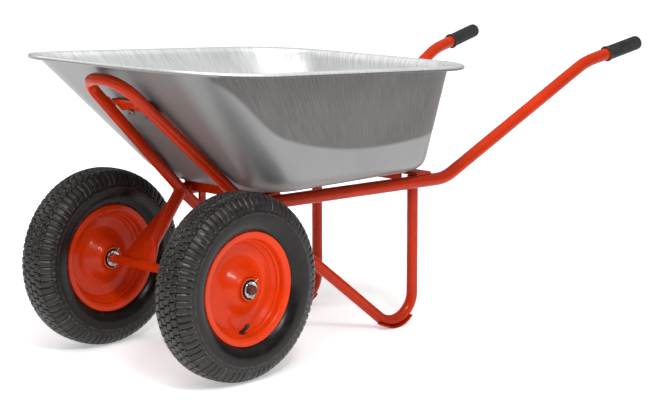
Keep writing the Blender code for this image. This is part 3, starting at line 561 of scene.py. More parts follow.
def bead_mesh(path, radius, seed):
    """A lumpy weld bead along a path, thinner at its ends."""
    path = spaced(path, 0.0014)
    count = len(path)
    radii = []
    for i in range(count):
        end = min(1.0, (min(i, count - 1 - i) + 1.0) / 3.0)
        lump = 0.10 * math.sin(i * 2.1 + seed)
        lump += 0.22 * noise.noise(path[i] * 180.0 + Vector((seed, 0, 0)))
        radii.append(radius * end * (1.0 + lump))
    return grid_mesh("weld", sweep(path, radii, 10), caps=True)


def refined(name, node, slot, width, sharp, reach=None):
    """A CAD node's solid with rounded edges, its ends drawn in to a reach."""
    form = bmesh.new()
    form.from_mesh(frame["nodes"][node].data)
    bmesh.ops.remove_doubles(form, verts=form.verts, dist=0.00001)
    for vertex in form.verts:
        if reach is not None and abs(vertex.co.y) > reach:
            vertex.co.y = math.copysign(reach, vertex.co.y)
    flat = math.radians(0.5)
    bmesh.ops.dissolve_limit(form, angle_limit=flat, verts=form.verts, edges=form.edges)
    hard = [edge for edge in form.edges if len(edge.link_faces) == 2]
    hard = [edge for edge in hard if edge.calc_face_angle() > math.radians(35)]
    shape = {"segments": 2, "profile": 0.5, "affect": "EDGES", "clamp_overlap": True}
    bmesh.ops.bevel(form, geom=hard, offset=width, **shape)
    mesh = bpy.data.meshes.new(name)
    form.to_mesh(mesh)
    form.free()
    add_piece(name, mesh, slot, [node], sharp)


def body_of(node):
    """The body that a CAD node belongs to."""
    for body, members in frame["record"]["behaviour"]["bodies"].items():
        if node in members:
            return body
    raise ValueError(node)


# --- tray
TRAY_SHEET = 0.0015
# Planes: height at the axle, slope, rise ahead of the axle
RIM_PLANE = (0.6350, -0.0490, 0.13)
BOTTOM_PLANE = (0.3544, 0.0, 0.0)
# Outlines: front, rear, half width, and the radius of the front and rear corners
RIM_OUTLINE = (-0.174, 0.648, 0.345, 0.185, 0.155)
WALL_OUTLINE = (-0.1515, 0.620, 0.314, 0.130, 0.135)
FLOOR_OUTLINE = (0.1310, 0.616, 0.214, 0.085, 0.080)
FLAT_OUTLINE = (0.172, 0.607, 0.112, 0.050, 0.050)
RIM_BOW = 0.012
CURL_R = 0.0032
CURL_DEGREES = (-165, -135, -105, -75, -45, -15, 15, 45, 70)
FLANGE_SHARES = (0.22, 0.40, 0.56)
SHOULDER_START = 0.68
SHOULDER_END = 0.045
WALL_END = 0.84
CENTRE_SHARES = (0.25, 0.5, 0.75, 1.0)
CORNER_STEPS = 24
EDGE_STEPS = 14


def outline(shape, bow, plane):
    """A rounded, slightly bowed rectangle of points from the nose round the +Y side."""
    front, rear, half, front_r, rear_r = shape
    straight = rear - rear_r - front - front_r
    turns = [math.pi / 2 * step / CORNER_STEPS for step in range(CORNER_STEPS + 1)]
    shares = [(step + 0.5) / EDGE_STEPS for step in range(EDGE_STEPS)]
    points = [(front, (half - front_r) * share) for share in shares]
    for turn in turns:
        x = front + front_r - front_r * math.cos(turn)
        points.append((x, half - front_r + front_r * math.sin(turn)))
    for step in range(1, 2 * EDGE_STEPS + 1):
        points.append((front + front_r + straight * step / (2 * EDGE_STEPS + 1), half))
    for turn in turns:
        x = rear - rear_r + rear_r * math.sin(turn)
        points.append((x, half - rear_r + rear_r * math.cos(turn)))
    points += [(rear, (half - rear_r) * share) for share in reversed(shares)]
    middle = (front + rear) / 2
    bowed = []
    for x, y in points:
        push = bow * (1 - (y / half) ** 2)
        bowed.append((x - push if x < middle else x + push, y))
    bowed += [(x, -y) for x, y in reversed(bowed)]
    height, slope, rise = plane
    places = [(x + AXLE_X, y, height + slope * x + rise * min(0.0, x) ** 2) for x, y in bowed]
    return np.array(places)


def curved(start, corner, end, shares):
    """Rings on a curve that leaves one ring towards a corner ring and arrives at another."""
    return [start * (1 - t) ** 2 + corner * 2 * t * (1 - t) + end * t**2 for t in shares]


def tray_skin():
    """Rings of the pan's underside: curled rim, flange, shoulder, walls, bend and floor."""
    rim = outline(RIM_OUTLINE, RIM_BOW, RIM_PLANE)
    wall = outline(WALL_OUTLINE, RIM_BOW, RIM_PLANE)
    floor = outline(FLOOR_OUTLINE, 0.0, BOTTOM_PLANE)
    flat = outline(FLAT_OUTLINE, 0.0, BOTTOM_PLANE)
    out = rim - wall
    out[:, 2] = 0
    out /= np.linalg.norm(out, axis=1)[:, None]
    rings = []
    for angle in np.radians(CURL_DEGREES):
        sideways, drop = out * CURL_R * (math.cos(angle) - 1), math.sin(angle) - 1
        rings.append(rim + sideways + UP * CURL_R * drop)
    rings.append(rim - out * CURL_R)
    rings += [rim + (wall - rim) * t for t in FLANGE_SHARES]
    shoulder_start = rim + (wall - rim) * SHOULDER_START
    shoulder_end = wall + (floor - wall) * SHOULDER_END
    rings += curved(shoulder_start, wall, shoulder_end, np.linspace(0, 1, 9))
    for t in np.linspace(SHOULDER_END, WALL_END, 27)[1:]:
        rings.append(wall + (floor - wall) * t)
    rings += curved(rings[-1], floor, flat, np.linspace(0, 1, 15)[1:])
    middle = flat[:, 0].mean()
    centre = flat.copy()
    centre[:, 1] *= 0.15
    centre[:, 0] = (centre[:, 0] - middle) * 0.5 + middle
    rings += [flat + (centre - flat) * t for t in CENTRE_SHARES]
    return np.array(rings)


def skin_normals(skin):
    """Unit normals of a grid of closed rings, upwards at its last ring."""
    across = np.roll(skin, -1, 1) - np.roll(skin, 1, 1)
    along = np.empty_like(skin)
    along[1:-1] = skin[2:] - skin[:-2]
    along[0], along[-1] = skin[1] - skin[0], skin[-1] - skin[-2]
    normal = np.cross(across, along)
    normal /= np.linalg.norm(normal, axis=2)[..., None]
    return -normal if normal[-1, :, 2].mean() < 0 else normal


def build_tray():
    """A pressed pan: an underside and an inside, joined along the curled edge."""
    skin = tray_skin()
    rows, columns = skin.shape[:2]
    inside = skin + skin_normals(skin) * TRAY_SHEET
    mesh = grid_mesh("tray_shell", np.concatenate([skin, inside[::-1]]), caps=True)
    form = bmesh.new()
    form.from_mesh(mesh)
    caps = [face for face in form.faces if len(face.verts) == columns]
    bmesh.ops.delete(form, geom=caps, context="FACES_ONLY")
    form.verts.ensure_lookup_table()
    last = 2 * rows * columns - columns
    for i in range(columns):
        j = (i + 1) % columns
        form.faces.new([form.verts[k] for k in (i, j, last + j, last + i)])
    # One face closes each skin's middle, in place of the quads from one skin to the other
    low, middle, high = (rows * columns + shift for shift in (-columns, 0, columns))
    for start in (low, middle):
        form.faces.new([form.verts[start + k] for k in range(columns)])
    between = [face for face in form.faces if all(low <= v.index < high for v in face.verts)]
    quads = [face for face in between if len(face.verts) == 4]
    bmesh.ops.delete(form, geom=quads, context="FACES_ONLY")
    bmesh.ops.recalc_face_normals(form, faces=form.faces)
    form.to_mesh(mesh)
    form.free()
    around = np.tile(arc_lengths(skin[0]), (rows, 1))
    down = np.tile(arc_lengths(skin[:, 0])[:, None], (1, columns))
    for name, values in (("around", around), ("down", down)):
        set_attribute(mesh, name, np.concatenate([values, values[::-1]]))
    add_piece("tray_shell", mesh, "tray_steel", ["tray"], 60)


# --- frame tubes
def rail_y(x):
    """How far the rail's middle is from the middle plane."""
    return RAIL_SPREAD_Y + RAIL_SPREAD * (x - RAIL_SPREAD_X)


def rail_corners(side):
    """The rail's open end, knee, wrist and handle end."""
    wrist_z = RAIL_Z + HANDLE_SLOPE * (RAIL_WRIST_X - RAIL_KNEE_X)
    end_z = wrist_z + GRIP_SLOPE * (HANDLE_END_X - RAIL_WRIST_X)
    level = ((RAIL_START_X, RAIL_Z), (RAIL_KNEE_X, RAIL_Z))
    rising = ((RAIL_WRIST_X, wrist_z), (HANDLE_END_X, end_z))
    return [at(x, side * rail_y(x), z) for x, z in level + rising]


def hoop_point(z, side):
    """The middle of the hoop's tube at a height."""
    rise = z - CROSSING_Z
    return at(CROSSING_X - HOOP_RUN * rise, side * (CROSSING_Y - HOOP_SPREAD * rise), z)


def leg_corners(side):
    """The leg's crossing with the hoop, its foot, and its top at the rail."""
    dip_z = CROSSING_Z - LEG_SLOPE * (LEG_X - CROSSING_X)
    crossing = at(CROSSING_X, side * CROSSING_Y, CROSSING_Z)
    return [crossing, at(LEG_X, side * LEG_Y, dip_z), at(LEG_X, side * LEG_Y, LEG_TOP_Z)]


def build_frame_tubes():
    """The hoop and legs, which are one tube, and the two rails."""
    nose = [hoop_point(HOOP_CORNER_Z, -1), hoop_point(HOOP_CORNER_Z, 1)]
    radii = [FOOT_RADIUS, CROSSING_RADIUS, HOOP_RADIUS]
    path = fillet(leg_corners(-1)[::-1] + nose + leg_corners(1), radii + radii[::-1])
    name = "hoop_and_legs_tube"
    mesh = tube_mesh(name, path, LEG_R)
    add_piece(name, mesh, "red_paint", ["front_hoop", "left_leg", "right_leg"], 50)
    for label, side in SIDES.items():
        name = f"{label}_rail_tube"
        mesh = tube_mesh(name, fillet(rail_corners(side), [KNEE_RADIUS, WRIST_RADIUS]), RAIL_R)
        add_piece(name, mesh, "red_paint", [f"{label}_rail"], 50)


# Distances from the strut's foot, and how flat it is there
FLAT_DISTANCES = (-0.004, 0.016, 0.034, 0.046, 0.058, 0.072)
FLATNESS = (1.0, 1.0, 0.80, 0.45, 0.15, 0.0)
CREASE_WIDTH = 0.003
MOUTH_BACK = 0.06
BITE = 0.0015


def strut_line(side):
    """The strut's foot, bend and top."""
    return [at(x, side * y, z) for x, y, z in (STRUT_FOOT, STRUT_BEND, STRUT_TOP)]


def hit_distance(point, direction, side, radius):
    """How far a point travels until it meets a cylinder around the hoop's side."""
    start = hoop_point(CROSSING_Z, side)
    axis = (hoop_point(0.5, side) - start).normalized()
    away = (point - start) - axis * (point - start).dot(axis)
    go = direction - axis * direction.dot(axis)
    a, b, c = go.dot(go), away.dot(go), away.dot(away) - radius**2
    root = b * b - a * c
    return (-b - math.sqrt(root)) / a if root > 0 else -b / a


def fish_mouth(rings, upper, side):
    """Ends the strut's rings on the hoop, which they are welded to."""
    for column in range(rings.shape[1]):
        base = Vector(rings[-1, column]) - upper * MOUTH_BACK
        limit = hit_distance(base, upper, side, LEG_R - BITE)
        for row in range(rings.shape[0]):
            beyond = (Vector(rings[row, column]) - base).dot(upper) - limit
            if beyond > 0:
                rings[row, column] -= np.array(upper) * beyond
    return rings


def build_strut(label, side):
    """A tube pressed flat at its foot, with a crease up each side of the flat."""
    foot, bend, top = strut_line(side)
    lower, upper = (bend - foot).normalized(), (top - bend).normalized()
    bend_at = (bend - foot).length
    total = bend_at + (top - bend).length
    rings = []
    turns = (np.arange(56) + 0.5) * 2 * math.pi / 56
    for distance in np.linspace(FLAT_DISTANCES[0], total, 60):
        flat = float(np.interp(distance, FLAT_DISTANCES, FLATNESS))
        flat = flat * flat * (3 - 2 * flat)
        past = distance - bend_at
        place = foot + lower * distance if past < 0 else bend + upper * past
        share = min(1.0, max(0.0, distance / (2 * bend_at)))
        direction = lower.lerp(upper, share).normalized()
        across = (Vector((0, 1, 0)) - direction * direction.y).normalized()
        depth = direction.cross(across)
        half_width = STRUT_R + (STRUT_FLAT_HALF_WIDTH - STRUT_R) * flat
        half_depth = STRUT_R + (STRUT_FLAT_HALF_THICKNESS - STRUT_R) * flat
        sideways = np.copysign(half_width - half_depth, np.cos(turns)) + half_depth * np.cos(turns)
        from_crease = (np.abs(sideways) - 0.75 * half_width) / CREASE_WIDTH
        deep = half_depth * np.sin(turns) * (1 + 0.20 * flat * np.exp(-(from_crease**2)))
        rings.append(np.array(place) + np.outer(sideways, across) + np.outer(deep, depth))
    name = f"{label}_strut_tube"
    mesh = grid_mesh(name, fish_mouth(np.array(rings), upper, side), caps=True)
    add_piece(name, mesh, "red_paint", [f"{label}_strut"], 45)


# --- welds
def strut_top_weld(side):
    """A bead around the strut where it meets the hoop."""
    _, bend, top = strut_line(side)
    up = (top - bend).normalized()
    a = up.orthogonal().normalized()
    b = up.cross(a)
    ring = []
    for i in range(41):
        turn = 2 * math.pi * i / 40
        spoke = (a * math.cos(turn) + b * math.sin(turn)) * (STRUT_R + 0.0003)
        base = top - up * MOUTH_BACK + spoke
        ring.append(base + up * hit_distance(base, up, side, LEG_R))
    return bead_mesh(ring, 0.0017, 2 * side)


def leg_top_welds(side):
    """Beads above and below the leg's top, against the rail."""
    y = (rail_y(LEG_X) * 0.47 + LEG_Y * 0.53) * side
    beads = []
    for z in (RAIL_Z - 0.0115, RAIL_Z + 0.0095):
        path = [at(LEG_X - 0.010, y, z), at(LEG_X, y, z - 0.001), at(LEG_X + 0.010, y, z)]
        beads.append(bead_mesh(path, 0.0036, z))
    return beads


def strut_foot_welds(side):
    """Beads along the axle, on both faces of the strut's foot."""
    half = 0.0042
    z = WHEEL_R + math.sqrt(AXLE_R**2 - half**2) + 0.0008
    low, high = side * (STRUT_FOOT[1] - 0.020), side * (STRUT_FOOT[1] + 0.020)
    beads = []
    for x in (STRUT_FOOT[0] - half, STRUT_FOOT[0] + half):
        beads.append(bead_mesh([at(x, low, z), at(x, high, z)], 0.0020, x + side))
    return beads


def crossmember_welds(side):
    """Beads over the rail, along both edges of each crossmember."""
    reach = RAIL_R * 0.72
    top = RAIL_Z + RAIL_R
    beads = []
    for node in ("front_crossmember", "rear_crossmember"):
        low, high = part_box(node)
        for x in (low.x, high.x):
            y = rail_y(x - AXLE_X)
            ends = (side * (y - reach), side * min(high.y - 0.001, y + reach))
            path = [Vector((x, end, top - 0.0035)) for end in ends]
            path.insert(1, Vector((x, side * y, top + 0.0006)))
            beads.append(bead_mesh(path, 0.0022, x))
    return beads


def brace_weld(side):
    """A bead up the hoop's side, along the end of its brace."""
    low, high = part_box("hoop_brace")
    hoop = hoop_point((low.z + high.z) / 2, side)
    direction = (hoop_point(0.6, side) - hoop_point(0.4, side)).normalized()
    back = direction.cross(Vector((0, 1, 0))).normalized()
    back = back if back.x > 0 else -back
    start = hoop + Vector((0, -side, 0)) * (LEG_R * 0.75) + back * (LEG_R * 0.75)
    return bead_mesh([start - direction * 0.016, start + direction * 0.016], 0.0024, side * 3)


def build_welds():
    beads = []
    for side in SIDES.values():
        beads.append(strut_top_weld(side))
        beads += leg_top_welds(side) + strut_foot_welds(side) + crossmember_welds(side)
    beads += [brace_weld(side) for side in SIDES.values()]
    mesh = join_meshes("weld_beads", beads)
    add_piece("weld_beads", mesh, "red_paint", (), None)


# --- grips
GRIP_R = 0.0172
GRIP_LENGTH = 0.116
GRIP_COLLAR_R = 0.0192
GRIP_RIBS = 30
GRIP_RIB_DEPTH = 0.0009
GRIP_CLOSED_END = 0.0025
# Profile from the closed end: distance, share of the radius, share of the ribs
GRIP_END = (
    (0.0, 0.0005, 0), (0.0, 0.35, 0), (0.0, 0.62, 0), (0.0006, 0.80, 0), (0.0018, 0.90, 0),
    (0.0036, 0.965, 0.2), (0.006, 0.99, 0.8),
)
COLLAR = GRIP_COLLAR_R / GRIP_R
# The same from the open end
GRIP_COLLAR = (
    (0.009, 1.0, 0.6), (0.0075, 0.985, 0.0), (0.006, 1.01, 0.0), (0.005, COLLAR - 0.02, 0),
    (0.004, COLLAR, 0), (0.0012, COLLAR, 0), (0.0003, COLLAR - 0.02, 0),
    (0.0, COLLAR - 0.06, 0), (0.0, 0.87, 0), (0.02, 0.85, 0),
)


def build_grip(label, side):
    """A ribbed rubber sleeve with a collar and a rounded closed end."""
    corners = rail_corners(side)
    direction = (corners[3] - corners[2]).normalized()
    tip = corners[3] + direction * GRIP_CLOSED_END
    turns = np.arange(GRIP_RIBS * 8) * 2 * math.pi / (GRIP_RIBS * 8)
    rib = 0.5 + 0.5 * np.cos(turns * GRIP_RIBS)
    rib = rib * rib * (3 - 2 * rib)
    up = direction.orthogonal().normalized()
    across = direction.cross(up)
    rows = list(GRIP_END)
    rows += [(distance, 1.0, 1.0) for distance in np.linspace(0.008, GRIP_LENGTH - 0.012, 26)]
    rows += [(GRIP_LENGTH - distance, share, ribbed) for distance, share, ribbed in GRIP_COLLAR]
    rings = []
    for distance, share, ribbed in rows:
        radius = GRIP_R * share - ribbed * GRIP_RIB_DEPTH * (1 - rib)
        centre = np.array(tip - direction * distance)
        spokes = np.outer(np.cos(turns) * radius, up) + np.outer(np.sin(turns) * radius, across)
        rings.append(centre + spokes)
    name = f"{label}_grip_sleeve"
    mesh = grid_mesh(name, rings, caps=True)
    add_piece(name, mesh, "grip_rubber", [f"{label}_grip"], 50)


# --- wheels
TYRE_R = 0.195
TYRE_STEPS = 640
# The tyre's outline, outside and inside: (radius, distance from its middle)
TYRE_OUTER = [
    (0.195, 0.0), (0.1946, 0.012), (0.1932, 0.0225), (0.189, 0.0335), (0.178, 0.0442),
    (0.166, 0.0482), (0.154, 0.0495), (0.144, 0.049), (0.135, 0.047), (0.125, 0.0415),
    (0.12, 0.0368), (0.1182, 0.0345), (0.1174, 0.0318), (0.106, 0.0305), (0.104, 0.0265),
]
TYRE_INNER = [
    (0.1038, 0.022), (0.105, 0.019), (0.113, 0.019), (0.13, 0.0325), (0.157, 0.041),
    (0.175, 0.034), (0.184, 0.0),
]
TREAD_BLOCKS = 70
TREAD_LUGS = 78
ROW_PITCH = 0.0150
ZIGZAG = 0.0040
BLOCK_SLANT = 12.0
CROWN_EDGE = (0.03, 0.0318)
SHOULDER_R = (0.16, 0.17)
BLOCK_DEPTH = 0.0042
LUG_DEPTH = 0.0024
# Moulded rings on the sidewall: radius, width, height
SIDEWALL_RINGS = ((0.1575, 0.0007, 0.0009), (0.1290, 0.0008, 0.0004))


def step_up(value, low, high):
    """0 up to the low value, 1 from the high one, smooth between them."""
    t = np.clip((value - low) / (high - low), 0, 1)
    return t * t * (3 - 2 * t)


def tread_relief(turn, across, radius):
    """Height over the tyre's outline, a painted highlight on block edges and rings, and painted shade in the
    grooves: zigzag blocks and shoulder bars.
    """
    blocks = turn * TREAD_BLOCKS / (2 * math.pi)
    wave = np.abs(blocks % 1 - 0.5) * 2
    lane = (across + ZIGZAG * (wave - 0.5)) / ROW_PITCH + 0.5
    row = np.round(lane)
    from_row_edge = (0.5 - np.abs(lane - row)) * ROW_PITCH
    slant = BLOCK_SLANT * (across - (row - 0.5) * ROW_PITCH)
    phase = (blocks + 0.5 * (row % 2) + 0.25 + slant) % 1
    from_block_end = np.minimum(phase, 1 - phase) * 2 * math.pi * TYRE_R / TREAD_BLOCKS
    block = step_up(from_row_edge, 0.0005, 0.0019) * step_up(from_block_end, 0.0006, 0.0020)
    off_crown = step_up(np.abs(across), *CROWN_EDGE)
    crown = 1 - off_crown
    lug_phase = (turn * TREAD_LUGS / (2 * math.pi)) % 1
    lug = step_up(np.abs(lug_phase - 0.5), 0.09, 0.17)
    shoulder = off_crown * step_up(radius, *SHOULDER_R)
    depth = BLOCK_DEPTH * crown * (1 - block) + LUG_DEPTH * shoulder * (1 - lug)
    ridge = 0.0
    for middle, width, height in SIDEWALL_RINGS:
        ridge = ridge + np.exp(-(((radius - middle) / width) ** 2)) * height
    lift = 1 - crown * (1 - block) - shoulder * (1 - lug)
    # Block and lug edges, and the moulded rings, are marked for a lighter grey: painted highlight.
    edges = 4 * lift * (1 - lift)
    tops = 3 * step_up(lift, 0.6, 0.98) * step_up(1 - lift, 0.001, 0.05)
    wear = np.where(crown + shoulder > 0.5, np.clip(edges + tops, 0, 1), 0)
    wear = np.maximum(wear, 0.5 * step_up(ridge, 0.0003, 0.0008))
    # The last value marks the groove bottoms for painted shade.
    return -depth + ridge, wear, np.clip(1 - 1.6 * lift, 0, 1)


def resample(points, spacing):
    """Points along a polyline, closer together where the spacing function says."""
    lengths = arc_lengths(points)
    places, here = [], 0.0
    while here < lengths[-1]:
        places.append(here)
        here += spacing(np.interp(here, lengths, points[:, 0]))
    places.append(lengths[-1])
    return np.stack([np.interp(places, lengths, points[:, k]) for k in (0, 1)], 1)


def build_tyre(label, side, middle):
    """A hollow tyre with its tread cut into a fine outline."""
    half = smooth_profile(TYRE_OUTER, 8)
    half = resample(half, lambda radius: 0.0012 if radius > 0.158 else 0.0028)
    profile = np.vstack([half[::-1] * (1, -1), half[1:]])
    normal = profile_normals(profile)
    turns = np.arange(TYRE_STEPS) * 2 * math.pi / TYRE_STEPS
    radius, out = profile[:, 0][:, None], profile[:, 1][:, None]
    relief, wear, groove = tread_relief(turns[None, :], out, radius)
    inner = np.array(TYRE_INNER)
    inner = np.vstack([inner, inner[:-1][::-1] * (1, -1)])
    radius = radius + normal[:, 0][:, None] * relief
    out = out + normal[:, 1][:, None] * relief
    radius = np.vstack([radius, np.repeat(inner[:, :1], TYRE_STEPS, 1)])
    out = np.vstack([out, np.repeat(inner[:, 1:], TYRE_STEPS, 1)])
    x, z = middle.x + radius * np.cos(turns), middle.z + radius * np.sin(turns)
    name = f"{label}_tyre_tread"
    mesh = grid_mesh(name, np.stack([x, middle.y + side * out, z], -1), wrap_rows=True)
    unmarked = np.zeros((len(inner), TYRE_STEPS))
    for attribute, values in (("wear", wear), ("groove", groove)):
        values = np.vstack([np.broadcast_to(values, relief.shape), unmarked])
        set_attribute(mesh, attribute, values)
    add_piece(name, mesh, "tyre_rubber", [f"{label}_tyre"], 55)


RIM_SHEET = 0.0018
# One rim half's face: (radius, distance outboard of the wheel's middle)
RIM_FACE = [
    (0.1166, 0.0322), (0.1178, 0.0334), (0.1176, 0.0348), (0.116, 0.0352), (0.111, 0.0348),
    (0.1062, 0.034), (0.1036, 0.0322), (0.102, 0.029), (0.101, 0.024), (0.1002, 0.02),
    (0.0984, 0.0178), (0.0966, 0.0164), (0.0952, 0.013), (0.0936, 0.0098), (0.0908, 0.0078),
    (0.089, 0.005), (0.0868, 0.0026), (0.083, 0.0022), (0.07, 0.0022), (0.064, 0.0026),
    (0.057, 0.005), (0.051, 0.0084), (0.044, 0.0152), (0.037, 0.0224), (0.032, 0.0268),
    (0.029, 0.0296), (0.0274, 0.0322), (0.0268, 0.0346), (0.0262, 0.0352),
]


def build_rim(label, which, side, middle):
    """One stepped pressing of the wheel's disc and its flange."""
    face = smooth_profile(RIM_FACE, 4)
    normal = profile_normals(face)
    back = face - normal * RIM_SHEET * np.sign(normal[len(normal) // 2, 1])
    name = f"{label}_{which}_rim_pressing"
    mesh = lathe(name, np.vstack([face, back[::-1]]), middle, side, 160)
    add_piece(name, mesh, "red_paint", [f"{label}_{which}_rim"], 50)


BEARING_DEPTH = 0.012
WASHER_GAP = 0.0006
WASHER_THICKNESS = 0.0025


def build_bearing(label, which, side, middle):
    """A ball bearing in the hub's end: two races with a sunk seal between them."""
    seat = HUB_HALF - BEARING_DEPTH + 0.0003
    top = HUB_HALF - 0.0003
    profile = [
        (0.0103, seat), (0.0103, top - 0.0004), (0.0107, top), (0.0129, top),
        (0.0132, top - 0.0004), (0.0136, top - 0.0007), (0.0158, top - 0.0005),
        (0.0192, top - 0.0007), (0.0195, top - 0.0004), (0.0198, top), (0.0206, top),
        (0.0210, top - 0.0004), (0.0210, seat),
    ]
    name = f"{label}_{which}_ball_bearing"
    mesh = lathe(name, profile, middle, side, 64)
    add_piece(name, mesh, "bearing_steel", [f"{label}_{which}_bearing"], 35)


def build_washer(label, which, side, middle):
    """A flat washer with broken edges, beside the hub."""
    low = HUB_HALF + WASHER_GAP
    high = low + WASHER_THICKNESS
    profile = [
        (0.0103, low), (0.0103, high - 0.0003), (0.0106, high), (0.0166, high),
        (0.0170, high - 0.0004), (0.0170, low + 0.0004), (0.0166, low),
    ]
    name = f"{label}_{which}_axle_washer"
    mesh = lathe(name, profile, middle, side, 64)
    add_piece(name, mesh, "zinc_plate", [f"{label}_{which}_washer"], 30)


def build_axle():
    """One round rod with chamfered ends."""
    half = WHEEL_Y + AXLE_BEYOND_WHEEL
    edge = [
        (0.0002, half), (0.0070, half), (AXLE_R - 0.0012, half - 0.0001),
        (AXLE_R - 0.0003, half - 0.0008), (AXLE_R, half - 0.0018),
    ]
    profile = edge + [(AXLE_R, y) for y in np.linspace(half - 0.01, -half + 0.01, 24)]
    profile += [(radius, -out) for radius, out in reversed(edge)]
    mesh = lathe("axle_rod", profile, Vector((AXLE_X, 0, WHEEL_R)), 1, 56, closed=False)
    add_piece("axle_rod", mesh, "red_paint", ["axle"], 40)


PIN_WIRE_R = 0.00095
PIN_LEG_X = 0.0009
PIN_LOOP_R = 0.0030


def build_split_pin(label, which, side):
    """A split pin: two wires through the axle, a loop below, legs bent apart above."""
    y = side * (WHEEL_Y + (PIN_FROM_WHEEL if which == "outer" else -PIN_FROM_WHEEL))
    under, over = WHEEL_R - AXLE_R, WHEEL_R + AXLE_R + 0.0015
    wires = []
    for turn, reach, rise in ((-1, 0.0070, 0.0010), (1, 0.0145, 0.0105)):
        loop = [at(turn * 0.0011, y, under - 0.0005)]
        for angle in np.linspace(0.9, math.pi, 8):
            x = turn * PIN_LOOP_R * math.sin(angle)
            loop.append(at(x, y, under - 0.0045 + PIN_LOOP_R * math.cos(angle)))
        x = turn * PIN_LEG_X
        tip = at(turn * (PIN_LEG_X + reach), y + side * 0.0015, over + rise)
        leg = fillet([at(x, y, WHEEL_R), at(x, y, over), tip], [0.003], math.radians(12))
        path = spaced(loop[::-1] + leg, 0.002)
        wires.append(grid_mesh("wire", sweep(path, [PIN_WIRE_R] * len(path), 12), caps=True))
    name = f"{label}_{which}_cotter"
    mesh = join_meshes(name, wires)
    add_piece(name, mesh, "zinc_plate", [f"{label}_{which}_split_pin"], None)


VALVE_ANGLE = math.radians(-91)
VALVE_SEAT = (0.0952, 0.0113)
# Stem and cap: (distance up the stem, radius)
VALVE_STEM = (
    (-0.008, 0.0040), (0.0, 0.0052), (0.0025, 0.0056), (0.004, 0.0048), (0.006, 0.0042),
    (0.014, 0.0037), (0.018, 0.0034), (0.0208, 0.0034),
)
VALVE_CAP = (
    (0.0206, 0.0036), (0.0209, 0.0045), (0.0275, 0.0045), (0.0286, 0.0041), (0.0296, 0.003),
    (0.03, 0.0012),
)


def build_valve(label, side, middle):
    """A rubber valve stem with a collar at the rim and a ribbed cap."""
    lean = math.sqrt(0.5)

    def line(distance):
        radius = VALVE_SEAT[0] - lean * distance
        y = middle.y + side * (VALVE_SEAT[1] + lean * distance)
        x = middle.x + radius * math.cos(VALVE_ANGLE)
        return Vector((x, y, middle.z + radius * math.sin(VALVE_ANGLE)))

    distances = np.linspace(VALVE_STEM[0][0], VALVE_STEM[-1][0], 24)
    radii = np.interp(distances, *zip(*VALVE_STEM))
    name = f"{label}_valve_tube"
    mesh = grid_mesh(name, sweep([line(d) for d in distances], radii, 28), caps=True)
    add_piece(name, mesh, "valve_rubber", [f"{label}_valve_stem"], 50)
    path = [line(distance) for distance, _ in VALVE_CAP]
    rings = sweep(path, [radius for _, radius in VALVE_CAP], 48)
    for ring, point, (_, radius) in zip(rings, path, VALVE_CAP):
        ribs = 1 + 0.05 * np.cos(np.arange(48) * math.pi / 2) * (radius > 0.004)
        ring[:] = np.array(point) + (ring - np.array(point)) * ribs[:, None] * 0.97
    name = f"{label}_valve_top"
    mesh = grid_mesh(name, rings, caps=True)
    add_piece(name, mesh, "valve_rubber", [f"{label}_valve_cap"], 50)


def build_bolts():
    """Domed bolt heads, chamfered nuts and threaded ends."""
    for label in SIDES:
        for place in ("front", "rear", "brace"):
            name = f"{label}_{place}"
            refined(f"{name}_coach_bolt", f"{name}_bolt", "zinc_plate", 0.0004, 40)
            refined(f"{name}_hex_nut", f"{name}_nut", "zinc_plate", 0.0006, 30)


def build_plates():
    """Brace, crossmembers, gussets, stays and skids with softened edges."""
    refined("hoop_brace_bar", "hoop_brace", "red_paint", 0.0009, 40, BRACE_REACH)
    for node in ("front_crossmember", "rear_crossmember"):
        refined(f"{node}_bar", node, "red_paint", 0.0009, 40)
    for label in SIDES:
        for node in ("gusset", "stay", "skid"):
            refined(f"{label}_{node}_plate", f"{label}_{node}", "red_paint", 0.0007, 40)


def build_wheels():
    for label, side in SIDES.items():
        middle = Vector((AXLE_X, side * WHEEL_Y, WHEEL_R))
        build_tyre(label, side, middle)
        build_valve(label, side, middle)
        for which, facing in (("outer", side), ("inner", -side)):
            build_rim(label, which, facing, middle)
            build_bearing(label, which, facing, middle)
            build_washer(label, which, facing, middle)
            build_split_pin(label, which, side)


def paint_kept_nodes():
    """Gives the CAD nodes that stay their finished materials."""
    slots = {part["node"]: part["material_slot"] for part in frame["record"]["subparts"]}
    for name, obj in frame["nodes"].items():
        obj.data.materials.clear()
        obj.data.materials.append(MATERIALS[slots[name]])


# --- stage
FLOOR_SIZE = 30.0
FLOOR_WHITES = ((0.86, 0.86, 0.86), (0.88, 0.88, 0.88))
# Sky: grey level at each height of the direction
SKY = ((0.02, 0.1), (0.6, 0.75))
SKY_STRENGTH = 0.75
# Soft boxes: place, size in metres, watts
LIGHTS = {
    "key": ((-1.7, -2.6, 3.0), 0.6, 52.0),
    "top": ((-0.7, -0.4, 2.6), 0.7, 40.0),
    "back": ((-1.5, 3.0, 2.0), 1.0, 8.0),
}
LIGHT_TARGET = Vector((-0.1, 0, 0.3))
SUN_DIRECTION = Vector((0.45, 0.40, -1.0))
CAMERA_PLACE = Vector((-2.9642, -2.8441, 1.0121))
CAMERA_TARGET = Vector((-0.0623, 0.0, 0.2724))
CAMERA_ROLL = math.radians(-0.1092)
CAMERA_LENS = 97.54


